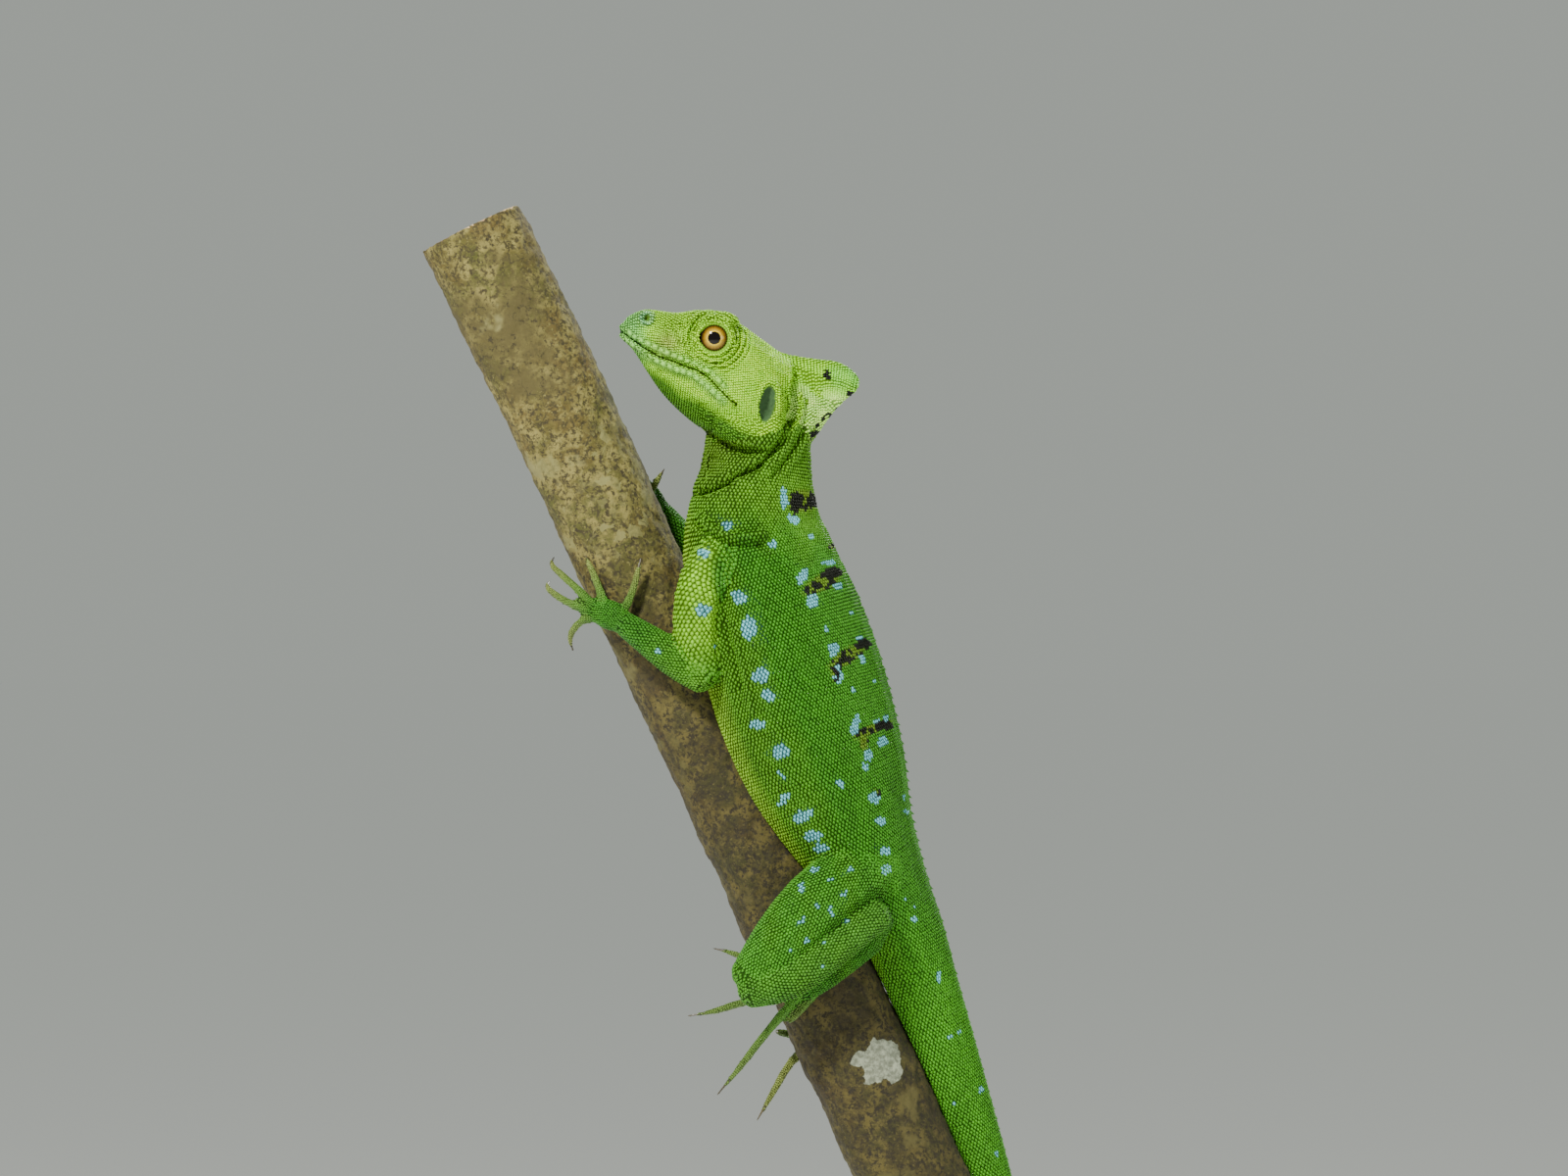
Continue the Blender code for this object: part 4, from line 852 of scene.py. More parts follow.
def mixNode(tree, share, first, second, blend="MIX"):    # a colour is a tuple or what a node gives out
    first, second = ((*tint, 1.0) if isinstance(tint, tuple) else tint for tint in (first, second))
    inputs = {0: share, 6: first, 7: second}
    return addNode(tree, "Mix", inputs, data_type="RGBA", blend_type=blend).outputs[2]


def rampNode(tree, source, marks):    # marks are places from 0 to 1 and their colours
    node = addNode(tree, "ValToRGB", {"Fac": source})
    stops = node.color_ramp.elements
    for stop, (spot, tint) in ((stops[0], marks[0]), (stops[1], marks[-1])):
        stop.position, stop.color = spot, (*tint, 1.0)
    for spot, tint in marks[1:-1]:
        stops.new(spot).color = (*tint, 1.0)
    return node.outputs["Color"]


def bumpNode(tree, source, strength, distance):
    inputs = {"Height": source, "Strength": strength, "Distance": distance}
    return addNode(tree, "Bump", inputs).outputs["Normal"]


def skinMaterial(name, roughness, bump, grain, shine):
    made, tree, shader, place = newPaint(name)
    fine = noiseNode(tree, place, grain, 4.0, 0.5)
    shade = addNode(tree, "MapRange", {"Value": fine, "To Min": 0.82, "To Max": 1.18}).outputs["Result"]
    tint = addNode(tree, "VectorMath", {0: attributeNode(tree, "tint", "Color"), "Scale": shade},
                   operation="SCALE").outputs["Vector"]
    setInputs(shader, {"Base Color": tint, "Roughness": roughness, "Specular IOR Level": shine,
                       "Normal": bumpNode(tree, fine, bump, 0.0002)})
    return made


skinPaint = skinMaterial("paintedSkin", 0.6, 0.5, 2500.0, 0.06)
scalePaint = skinMaterial("scaleHorn", 0.42, 0.25, 3500.0, 0.2)
skin.data.materials.append(skinPaint)
x, z = planeOf(points)
bare = onParts(label, "head") & ((fromOval(x, z, earForm) < 1.02) | (fromEye(x, z) < 3.6))
bare |= (axisKind[label] == 3) & (row > 0.82 * rowCount["digit"])
# where scales cover it, the skin is darkened to 0.26 of its tint as painted shade in the gaps between scales;
# bare skin keeps 0.9
dressTint(skin.data, tintOf(points, label, row, angle) * np.where(bare, 0.9, 0.26)[:, None])
print("skin painted")


# Scales: spacing along and round the body, thickness and height of the keel, in mm; each ring holds a
# multiple of "step" scales, "backFine" crowds them on the back, and "contrast" softens their painted shade
# and highlight
scaleForm = {
    "trunk": {"along": 0.70, "round": 0.76, "rise": 0.22, "keel": 0.12, "step": 4, "backFine": 0.55},
    "head": {"along": 0.55, "round": 0.55, "rise": 0.13, "keel": 0.03, "step": 4},
    "crest": {"along": 0.60, "round": 0.58, "rise": 0.12, "keel": 0.04, "step": 4},
    "upperArm": {"along": 0.84, "round": 1.28, "rise": 0.20, "keel": 0.06, "step": 5, "contrast": 0.55},
    "forearm": {"along": 0.66, "round": 0.80, "rise": 0.18, "keel": 0.10, "step": 4},
    "palm": {"along": 0.58, "round": 0.60, "rise": 0.13, "keel": 0.06, "step": 1},
    "thigh": {"along": 0.66, "round": 0.80, "rise": 0.17, "keel": 0.10, "step": 5},
    "shank": {"along": 0.66, "round": 0.82, "rise": 0.17, "keel": 0.10, "step": 4},
    "foot": {"along": 0.62, "round": 0.60, "rise": 0.14, "keel": 0.07, "step": 1},
    "digit": {"along": 0.52, "round": 0.56, "rise": 0.11, "keel": 0.05, "step": 1},
}
scaleOutline = ((-0.66, 0.0), (-0.20, 0.47), (0.34, 0.40), (0.86, 0.0), (0.34, -0.40), (-0.20, -0.47))
scaleStand = (-0.5, 0.12, 0.55, 1.0, 0.55, 0.12)      # how far each corner rises, in thicknesses
scalePaintedShading = (0.20, 0.42, 0.72, 1.00, 0.72, 0.42, 1.66, 0.2)    # painted shade at the root, painted highlight on the keel
bakePatch = 0.003      # a scale's own patch on the unwrapped sheet
# How uneven the coat is, how it fills gaps, and what it leaves bare: shares of a scale, or mm
coatForm = {"mostScales": 16000, "shift": 0.1, "tone": 0.12, "gapNear": 0.84, "gapApart": 0.95,
            "bareEye": 3.5, "bareEar": 1.02, "bareMouth": 0.22, "bareNostril": 0.1}


def ovalTurns(halfUp, halfSide, count, shift, backFine):    # where scales stand along an oval's rim
    fine = np.linspace(0, 2 * math.pi, 121)
    rim = np.stack((np.cos(fine) * halfUp, np.sin(fine) * halfSide), 1)
    dense = 1 + backFine * np.maximum(np.cos(fine), 0)[1:] ** 2
    steps = np.linalg.norm(np.diff(rim, axis=0), axis=1)
    run = np.concatenate(((0.0,), np.cumsum(steps * dense)))
    turns = np.interp((np.arange(count) + shift) / count * run[-1] % run[-1], run, fine)
    return turns, run[-1] / count / np.interp(turns, fine[1:], dense)


def scaleRoots(number, axis, form, tree, owner):    # where the scales of one length of body stand
    roots = []
    run, length = axis["run"], axis["run"][-1]
    pitch = form["along"] * mm
    for ring in range(int(length * form.get("to", 1.0) / pitch)):
        reach = ring * pitch
        at = min(int(np.searchsorted(run, reach)), len(run) - 1)
        share = (reach - run[at - 1]) / max(run[at] - run[at - 1], 1e-9) if at else 0.0
        here = {key: axis[key][max(at - 1, 0)] * (1 - share) + axis[key][at] * share
                for key in ("centre", "up", "side", "ahead", "halfUp", "halfSide")}
        a, b = here["halfUp"], here["halfSide"]
        rim = math.pi * (3 * (a + b) - math.sqrt((3 * a + b) * (a + 3 * b)))
        count = max(form["step"] * round(rim / (form["round"] * mm) / form["step"]), 5)
        origin = Vector(here["centre"])
        for turn, wide in zip(*ovalTurns(a, b, count, 0.5 * (ring % 2), form.get("backFine", 0.0))):
            way = here["up"] * (math.cos(turn) * a) + here["side"] * (math.sin(turn) * b)
            expected = float(np.linalg.norm(way))
            hit, _, face, distance = tree.ray_cast(origin, Vector(way / expected), expected * 2.2)
            if hit is None or (owner[face] != number and not 0.7 < distance / expected < 1.1):
                continue
            roots.append((*hit, face, *here["ahead"], wide, at, turn, number))
    return roots


def smoothNormals(piece, faces):    # the skin's smoothed normal on each face
    corners = readCorners(piece.data)[faces]
    normals = readNormals(piece.data)
    return unit(sum(normals[corners[:, k]] for k in range(3)))


def patchPlace(numbers, rows, turns):    # a root's place on the unwrapped skin: one strip for each length
    place = np.empty((len(numbers), 2))
    onTrunk = numbers == 0
    counts = np.array([len(axis["run"]) for axis in axes])
    share = rows / counts[numbers]
    turned = turns / (2 * math.pi)
    place[:, 0] = np.where(onTrunk, share, 0.02 + (numbers % 8) * 0.122 + share * 0.11)
    place[:, 1] = np.where(onTrunk, turned * 0.42, 0.45 + (numbers // 8) * 0.1 + turned * 0.09)
    return place * 0.99 + 0.004


def coatPiece(name, verts, corners, colours, places, patch, smooth):    # one piece of many small solids
    count, each = verts.shape[:2]
    faces = (np.array(corners)[None] + (np.arange(count) * each)[:, None, None]).reshape(-1, 3)
    mesh = bpy.data.meshes.new(name)
    mesh.vertices.add(count * each)
    mesh.vertices.foreach_set("co", verts.astype(np.float32).ravel())
    mesh.loops.add(len(faces) * 3)
    mesh.loops.foreach_set("vertex_index", faces.astype(np.int32).ravel())
    mesh.polygons.add(len(faces))
    mesh.polygons.foreach_set("loop_start", np.arange(0, len(faces) * 3, 3, dtype=np.int32))
    mesh.update(calc_edges=True)
    if smooth:
        mesh.shade_smooth()
    else:
        mesh.shade_flat()
    dressTint(mesh, colours.reshape(-1, 3))
    unwrap = mesh.uv_layers.new(name="OFBake")
    spread = places[:, None, :] + patch[None]
    unwrap.data.foreach_set("uv", spread.reshape(-1, 2)[faces.ravel()].astype(np.float32).ravel())
    mesh.materials.append(scalePaint)
    piece = newObject(name, mesh)
    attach(piece, "root")
    return piece


def makeScales(name, roots, forms, outline=scaleOutline, shade=scalePaintedShading):    # scales from rows of roots
    roots = np.array(roots, float)
    place = roots[:, 0:3]
    up = smoothNormals(skin, roots[:, 3].astype(int))
    along = roots[:, 4:7]
    flat = along - up * (along * up).sum(1)[:, None]
    level = np.cross(up, backward)                  # over the round end of a limb, the rows run level
    along = unit(np.where(np.linalg.norm(flat, axis=1)[:, None] > 0.35, unit(flat), unit(level)))
    across = np.cross(up, along)
    number = roots[:, 10].astype(int)
    long, rise, keel = (np.array([forms[k][key] for k in number])[:, None] * mm
                        for key in ("along", "rise", "keel"))
    wide = roots[:, 7:8]
    draw = np.random.default_rng(len(roots))
    vary, slip, slide = draw.uniform(-coatForm["shift"], coatForm["shift"], (3, len(roots), 1))
    vary = 1 + vary
    place = place + across * (wide * slip)
    place = place + along * (long * slide)
    verts = [place + along * (long * u * 1.12 * vary) + across * (wide * v * 1.04 * vary)
             + up * (rise * stand) for (u, v), stand in zip(outline, scaleStand)]
    verts.append(place + along * (long * 0.12) + up * (rise * 0.85 + keel))
    verts.append(place - up * (rise * 1.2))
    corners = []
    for k in range(6):
        j = (k + 1) % 6
        corners += [(6, j, k), (7, k, j)]
    jitter = draw.uniform(-0.00016, 0.00016, place.shape)
    colour = tintOf(place + jitter, number, roots[:, 8].astype(int), roots[:, 9], True)
    colour = colour * (1 + draw.uniform(-coatForm["tone"], coatForm["tone"], len(roots)))[:, None]
    # each scale's colour is darkened at the root as painted shade and brightened on the keel as a painted
    # highlight
    contrast = np.array([forms[k].get("contrast", 1.0) for k in number])[:, None, None]
    shading = 1 + (np.array(shade)[None, :, None] - 1) * contrast
    patch = np.array(outline + ((0.1, 0.0), (0.0, 0.0))) * bakePatch * 0.7
    coatPiece(name, np.stack(verts, 1), corners, colour[:, None, :] * shading,
              patchPlace(number, roots[:, 8], roots[:, 9]), patch, True)


def formOf(name):
    for key in scaleForm:
        if name.startswith(key):
            return scaleForm[key]
    return dict(scaleForm["digit"], to=1.08 - digitForm["clawShare"])


def bareSkin(root):    # no scales on the eye, the ear drum, the nostril or the line of the mouth
    if axisNames[int(root[10])] != "head":
        return False
    x, z = planeOf(np.array((root[0:3],)))
    return (fromEye(x, z)[0] < coatForm["bareEye"] or fromOval(x, z, earForm)[0] < coatForm["bareEar"]
            or fromLine(x, z, headLines["mouth"][0])[0] < coatForm["bareMouth"]
            or fromNostril(x, z)[0] < nostrilForm["radius"] + coatForm["bareNostril"])


lipForm = {"along": 1.75, "round": 1.2, "rise": 0.16, "keel": -0.02, "start": 0.6, "gap": 0.93}
# lip plates: painted shade at the root and a mild painted highlight in the middle
platePaintedShading = (0.45, 0.75, 0.95, 1.0, 0.95, 0.75, 1.15, 0.3)
plateOutline = ((-0.50, 0.0), (-0.42, 0.50), (0.42, 0.50), (0.50, 0.0), (0.42, -0.50), (-0.42, -0.50))


def lipPlates(line, side, tree):    # large plates in a row along one lip, on one side of the head
    x, z = np.array([fromPhoto(*corner) for corner in line]).T
    run = np.concatenate(((0.0,), np.cumsum(np.hypot(np.diff(x), np.diff(z)))))
    number = axisNames.index("head")
    plates = []
    for reach in np.arange(lipForm["start"], run[-1], lipForm["along"] * lipForm["gap"]):
        steps = np.array((reach, reach + 0.3))
        at = inRow(np.stack((np.interp(steps, run, x), np.full(2, headForm["y"] + side * 20.0),
                             np.interp(steps, run, z)), 1))
        hit, _, face, _ = tree.ray_cast(Vector(at[0]), Vector((0, -side, 0)), 0.04)
        if hit is None:
            continue
        ahead = unit(at[1:] - at[:1])[0] if steps[1] < run[-1] else np.array((0.7, 0.0, -0.7))
        plates.append((*hit, face, *ahead, lipForm["round"] * mm, 45, side * 1.6, number))
    return plates


def treeOf(piece):
    bm = bmesh.new()
    bm.from_mesh(piece.data)
    tree = BVHTree.FromBMesh(bm)
    bm.free()
    return tree


def fillGaps(roots, forms):    # scales where no ray from an axis could reach the skin
    tree = KDTree(len(roots))
    for k, root in enumerate(roots):
        tree.insert(root[:3], k)
    tree.balance()
    corners = readCorners(skin.data)
    centres = points[corners].mean(1)
    made, taken = [], {}
    for face in np.random.default_rng(8).permutation(len(corners)):
        vert = corners[face, 0]
        number, at, turn = label[vert], row[vert], angle[vert]
        form, axis, place = forms[number], axes[number], centres[face]
        if at > form.get("to", 1.0) * len(axis["run"]):
            continue
        near = min(form["along"], form["round"]) * mm * coatForm["gapNear"]
        if tree.find(place)[2] < near:
            continue
        cell = tuple((place / near).round().astype(int))
        close = [other for dx in (-1, 0, 1) for dy in (-1, 0, 1) for dz in (-1, 0, 1)
                 for other in taken.get((cell[0] + dx, cell[1] + dy, cell[2] + dz), ())]
        if any(math.dist(place, other) < near * coatForm["gapApart"] for other in close):
            continue
        root = (*place, face, *axis["ahead"][at], form["round"] * mm, at, turn, number)
        if not bareSkin(root):
            taken.setdefault(cell, []).append(tuple(place))
            made.append(root)
    print("gaps filled:", len(made))
    return made


def growCoat(tree):
    forms = [formOf(name) for name in axisNames]
    owner = label[readCorners(skin.data)[:, 0]]     # the length of body that each face belongs to
    roots = []
    for number, axis in enumerate(axes):
        roots += [root for root in scaleRoots(number, axis, forms[number], tree, owner) if not bareSkin(root)]
    roots += fillGaps(roots, forms)
    print("scales:", len(roots))
    plates = []
    for name in ("upperLip", "lowerLip"):
        for side in (-1, 1):
            plates += lipPlates(headLines[name][0], side, tree)
    makeScales("lip_plates", plates, [lipForm] * len(axes), plateOutline, platePaintedShading)
    most = coatForm["mostScales"]
    for k in range(0, len(roots), most):
        makeScales(f"scales_{k // most + 1}", roots[k:k + most], forms)


editMesh(skin.data, lambda bm: bmesh.ops.triangulate(bm, faces=bm.faces[:]))
skinTree = treeOf(skin)
growCoat(skinTree)
print("coat grown")


# Eyes: a gold iris and a round pupil painted on a glossy bulge, in a beaded lid; sizes in mm
eyeForm = {"radius": 4.15, "bulge": 0.2, "bulgeReach": 3.1, "paintReach": 0.0042, "fibres": 0.00055}
irisRings = (    # shares of paintReach from the middle, and the colours there
    (0.0, (0.003, 0.002, 0.002)), (0.395, (0.003, 0.002, 0.002)), (0.425, (0.72, 0.52, 0.030)),
    (0.48, (0.42, 0.28, 0.008)), (0.60, (0.20, 0.110, 0.004)), (0.69, (0.06, 0.028, 0.003)),
    (0.745, (0.012, 0.008, 0.005)),
)
lidForm = {"radius": 3.2, "thick": 0.42, "over": 0.12, "beads": 34, "bead": 0.09, "tone": 0.85,
           "corner": 0.55, "cornerTurn": 176.0, "cornerSharp": 14, "cornerSunk": 0.35}


def eyePlace(side):    # side is -1 for the eye that faces the camera
    x, z = headForm["eye"]
    return inRow((x, headForm["y"] + side * headForm["eyeOut"], z))


def eyeMaterial(name, side):
    made, tree, shader, place = newPaint(name)
    split = addNode(tree, "SeparateXYZ", {"Vector": vectorNode(tree, "SUBTRACT", place, eyePlace(side))})
    x, z = split.outputs["X"], split.outputs["Z"]
    flat = addNode(tree, "CombineXYZ", {"X": x, "Z": z}).outputs["Vector"]
    streak = addNode(tree, "CombineXYZ", {"X": mathNode(tree, "ARCTAN2", z, x)}).outputs["Vector"]
    fibre = noiseNode(tree, streak, 7.0, 3.0, 0.5)
    away = vectorNode(tree, "LENGTH", flat, give="Value")
    reach = mathNode(tree, "MULTIPLY_ADD", fibre, eyeForm["fibres"], away)
    share = addNode(tree, "MapRange", {"Value": reach, "From Max": eyeForm["paintReach"]}).outputs["Result"]
    setInputs(shader, {"Base Color": rampNode(tree, share, irisRings), "Roughness": 0.06,
                       "Specular IOR Level": 0.25})
    return made


def addRound(name, add, centre, **sizes):    # a ball or hoop that looks towards the camera
    bpy.ops.object.select_all(action="DESELECT")
    add(location=centre, rotation=(math.radians(90), 0, 0), **sizes)
    made = bpy.context.object
    made.name = name
    bpy.ops.object.transform_apply(location=True, rotation=True, scale=True)
    return made


def makeEye(hand, side):
    centre = eyePlace(side)
    eye = addRound(f"eyeball_{hand}", bpy.ops.mesh.primitive_uv_sphere_add, centre,
                   segments=64, ring_count=44, radius=eyeForm["radius"] * mm)
    points = readPoints(eye.data)
    away = np.hypot(points[:, 0] - centre[0], points[:, 2] - centre[2]) / mm
    front = (points[:, 1] - centre[1]) * side > 0
    swell = np.clip(1 - (away / eyeForm["bulgeReach"]) ** 2, 0, 1) ** 2 * front
    points[:, 1] += side * swell * eyeForm["bulge"] * mm
    writePoints(eye.data, points)
    eye.data.shade_smooth()
    eye.data.materials.append(eyeMaterial(f"goldIris_{hand}", side))
    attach(eye, "root")
    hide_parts(f"eye_{hand}")


def makeLid(hand, side):    # a hoop that lies on the eyeball, beaded, with a pointed front corner
    centre = eyePlace(side)
    lid = addRound(f"lid_{hand}", bpy.ops.mesh.primitive_torus_add, centre, major_segments=136,
                   minor_segments=12, major_radius=lidForm["radius"] * mm, minor_radius=lidForm["thick"] * mm)
    points = readPoints(lid.data)
    normals = readNormals(lid.data)
    offset = points - centre
    turn = np.arctan2(offset[:, 2], offset[:, 0])
    corner = np.maximum(np.cos(turn - math.radians(lidForm["cornerTurn"])), 0) ** lidForm["cornerSharp"]
    outward = unit(offset * (1.0, 0.0, 1.0))
    sunk = math.sqrt((eyeForm["radius"] + lidForm["over"]) ** 2 - lidForm["radius"] ** 2)
    points[:, 1] += side * (sunk - corner * lidForm["cornerSunk"]) * mm
    points += outward * (corner * lidForm["corner"] * mm)[:, None]
    points += normals * (np.cos(turn * lidForm["beads"]) * lidForm["bead"] * mm)[:, None]
    writePoints(lid.data, points)
    lid.data.shade_smooth()
    # painted shade: black towards the inner edge where the lid meets the eyeball, and in the sunk front
    # corner
    lidCreaseShade = np.clip((lidForm["radius"] - np.hypot(offset[:, 0], offset[:, 2]) / mm) * 3.5, 0, 1)
    rim = np.tile(np.array(tints["headTop"]), (len(points), 1)) * lidForm["tone"]
    dressTint(lid.data, layTints(rim, ("black", lidCreaseShade * 0.9 + corner * 0.35)))
    lid.data.materials.append(skinPaint)
    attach(lid, "root")


for hand, side in (("left", -1), ("right", 1)):
    makeEye(hand, side)
    makeLid(hand, side)
print("eyes set")


# Comb of small pointed scales down the back, and fringes along the toes; sizes in mm
combForm = {"pitch": 1.35, "high": 0.66, "from": 158.0, "to": -215.0, "wide": 0.42, "sink": 0.3,
            "sizes": ((-215, -60, 40, 100, 158), (0.3, 0.48, 0.75, 1.0, 0.55))}    # at heights
fringeForm = {"pitch": 0.8, "high": 0.42, "wide": 0.3, "from": 0.06, "to": 0.76}
spineSides = ((-0.5, 0.0), (-0.1, 0.5), (0.5, 0.0), (-0.1, -0.5))
# A spine from below the skin to its tip: shares of its height, spread and lean ahead, and its painted shade:
# dark at the foot, a painted highlight at the tip
spineLevels = ((0.0, 1.1, 0.0), (0.0, 1.0, 0.0), (0.5, 0.62, 0.28))
spineTip, spinePaintedShading = 0.75, (0.6, 0.8, 1.0, 1.25)


def makeSpines(name, rows, tone):    # rows of place, up, ahead, height, length, width, and paint place
    place, up, ahead = (np.array([row[k] for row in rows]) for k in range(3))
    high, long, wide = (np.array([row[k] for row in rows])[:, None] * mm for k in (3, 4, 5))
    number, at, turn = (np.array([row[k] for row in rows]) for k in (6, 7, 8))
    across = np.cross(up, ahead)
    verts = []
    for k, (level, spread, lean) in enumerate(spineLevels):
        rise = high * level if k else -combForm["sink"] * mm
        for u, v in spineSides:
            verts.append(place + up * rise + ahead * (long * (u * spread + lean))
                         + across * (wide * v * spread))
    verts.append(place + up * high + ahead * long * spineTip)
    corners = [(0, 1, 2), (0, 2, 3)]
    for base in (0, 4):
        for k in range(4):
            j = (k + 1) % 4
            corners += [(base + k, base + 4 + k, base + 4 + j), (base + k, base + 4 + j, base + j)]
    corners += [(8 + k, 12, 8 + (k + 1) % 4) for k in range(4)]
    colour = tintOf(place, number, at, turn, True) * tone
    # painted shade at the foot, painted highlight at the tip
    shade = np.repeat(spinePaintedShading, (4, 4, 4, 1))
    patch = np.array((spineSides * 3) + ((0.3, 0.0),)) * bakePatch
    piece = coatPiece(name, np.stack(verts, 1), corners, colour[:, None, :] * shade[None, :, None],
                      patchPlace(number, at, turn), patch, False)
    editMesh(piece.data, lambda bm: bmesh.ops.recalc_face_normals(bm, faces=bm.faces[:]))


def growComb(tree):
    axis = axes[0]
    rows = []
    draw = random.Random(4)
    travelled = 0.0
    for at in range(1, len(axis["run"])):
        travelled += (axis["run"][at] - axis["run"][at - 1]) / mm
        high = axis["centre"][at][2] / mm - lift
        if travelled < combForm["pitch"] * 0.98 or not combForm["to"] < high < combForm["from"]:
            continue
        travelled = 0.0
        up, ahead = axis["up"][at], axis["ahead"][at]
        start = axis["centre"][at] + up * (axis["halfUp"][at] + 0.004)
        hit = tree.ray_cast(Vector(start), Vector(-up), 0.012)[0]
        if hit is None:
            continue
        size = float(np.interp(high, *combForm["sizes"]))
        tall = combForm["high"] * size * draw.uniform(0.85, 1.15)
        rows.append((np.array(hit), up, ahead, tall, combForm["pitch"] * 0.95, combForm["wide"], 0, at, 0.0))
    return rows


def growFringe(tree):
    rows = []
    for number, axis in enumerate(axes):
        if not axis["name"].startswith("toes"):
            continue
        length = axis["run"][-1] / mm
        for k in range(int(length * (fringeForm["to"] - fringeForm["from"]) / fringeForm["pitch"])):
            reach = (length * fringeForm["from"] + k * fringeForm["pitch"]) * mm
            at = int(np.searchsorted(axis["run"], reach))
            for way in (-1, 1):
                side, ahead = axis["side"][at] * way, axis["ahead"][at]
                start = axis["centre"][at] + side * (axis["halfSide"][at] + 0.002)
                hit = tree.ray_cast(Vector(start), Vector(-side), 0.004)[0]
                if hit is not None:
                    rows.append((np.array(hit), side, ahead, fringeForm["high"], fringeForm["pitch"] * 0.9,
                                 fringeForm["wide"], number, at, way * math.pi / 2))
    return rows


makeSpines("comb", growComb(skinTree), 1.0)
makeSpines("toe_fringe", growFringe(skinTree), 0.95)
print("comb and fringes grown")


# Claws: hooked horn sheaths over the ends of the digits; sizes in mm
clawForm = {"share": 0.80, "proud": 0.03, "tip": 0.05, "beyond": 0.35, "slim": 0.42}


def hornMaterial():
    made, tree, shader, place = newPaint("clawHorn")
    grain = noiseNode(tree, place, 900.0, 3.0, 0.5)
    tint = rampNode(tree, grain, ((0.3, (0.022, 0.016, 0.008)), (0.75, (0.085, 0.070, 0.030))))
    setInputs(shader, {"Base Color": tint, "Roughness": 0.32})
    return made


def makeClaws():
    bpy.ops.object.select_all(action="DESELECT")
    for axis in axes:
        if axis["name"][:4] not in ("fing", "toes"):
            continue
        first = int(clawForm["share"] * rowCount["digit"])
        centre = axis["centre"]
        end = centre[-1] + unit(centre[-1:] - centre[-4:-3])[0] * clawForm["beyond"] * mm
        line = np.vstack((centre[first:], end))
        start = axis["halfSide"][first] / mm + clawForm["proud"]
        radii = start * (1 - np.linspace(0, 1, len(line)) ** 1.3) + clawForm["tip"]
        flesh = np.append(axis["halfSide"][first:] / mm + clawForm["proud"], 0)
        radii = np.minimum(radii, flesh * clawForm["slim"] + clawForm["tip"])
        curve = bpy.data.curves.new("claw", "CURVE")
        curve.dimensions = "3D"
        curve.bevel_depth = mm
        curve.bevel_resolution = 3
        curve.use_fill_caps = True
        spline = curve.splines.new("POLY")
        spline.points.add(len(line) - 1)
        for point, place, radius in zip(spline.points, line, radii):
            point.co = (*place, 1.0)
            point.radius = radius
        claw = newObject("claw", curve)
        claw.select_set(True)
        bpy.context.view_layer.objects.active = claw
    bpy.ops.object.convert(target="MESH")
    bpy.ops.object.join()
    claws = bpy.context.object
    claws.name = "claws"
    claws.data.shade_smooth()
    claws.data.materials.append(hornMaterial())
    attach(claws, "root")


makeClaws()
print("claws set")


# Branch: rough bark with knots and lichen, and two cut ends; sizes in mm
barkForm = {
    "voxel": 0.00078,
    "smooth": 24,
    "coarse": 0.22,        # height of the broad unevenness
    "grain": 0.13,         # height of the bark's crumbs
    "pits": 0.30,
    "pitsAbove": 1.15,     # only where the waves rise above this
    "lower": 0.12,
    "limits": (-0.6, 0.3),
    "endGrain": 0.05,
    "endFacing": 0.8,      # how squarely a face has to look along the branch to be an end
    "endFacingRough": 0.7,
    "cells": 40,           # lengths in which the middle of the wood is found
    "darkBelow": 0.375,    # heights in metres between which the bark turns from dark to pale, partly its own tone and partly painted shade low down
    "paleAbove": 0.455,
    "lichenPlace": (900, 1080),
    "lichenSize": 5.5,
    "cutEnd": 0.0035,      # length in metres that is left crisp at each end
}
barkWaves = {    # size in metres and seed
    "broad": (0.016, 21), "crumb": (0.0042, 22), "smallCrumb": (0.0024, 23),
    "pit": (0.0075, 24), "smallPit": (0.003, 25), "endGrain": (0.0016, 26),
}
barkTints = {
    "ground": (0.165, 0.118, 0.036),
    "flake": (0.330, 0.320, 0.190),
    "crack": (0.060, 0.050, 0.024),
    "low": (0.215, 0.195, 0.065),
    "high": (0.62, 0.61, 0.34),
    "lichen": (0.130, 0.145, 0.100),
    "lichenPale": (0.270, 0.300, 0.215),
}
barkLayers = {    # noise scale, detail, roughness, the levels where it starts and is full, and its colour
    "broad": (55.0, 4.0, 0.60, 0.36, 0.64, (0.118, 0.125, 0.028)),
    "middle": (210.0, 5.0, 0.65, 0.43, 0.63, (0.370, 0.325, 0.155)),
    "fine": (900.0, 5.0, 0.70, 0.52, 0.41, (0.062, 0.050, 0.022)),
    "speck": (1500.0, 3.0, 0.60, 0.55, 0.72, (0.330, 0.300, 0.160)),
    "blotch": (34.0, 5.0, 0.65, 0.46, 0.30, (0.125, 0.105, 0.045)),
    "freckle": (620.0, 4.0, 0.70, 0.56, 0.66, (0.048, 0.038, 0.018)),
    "patch": (60.0, 4.0, 0.60, 0.60, 0.67, (0.330, 0.315, 0.205)),
}


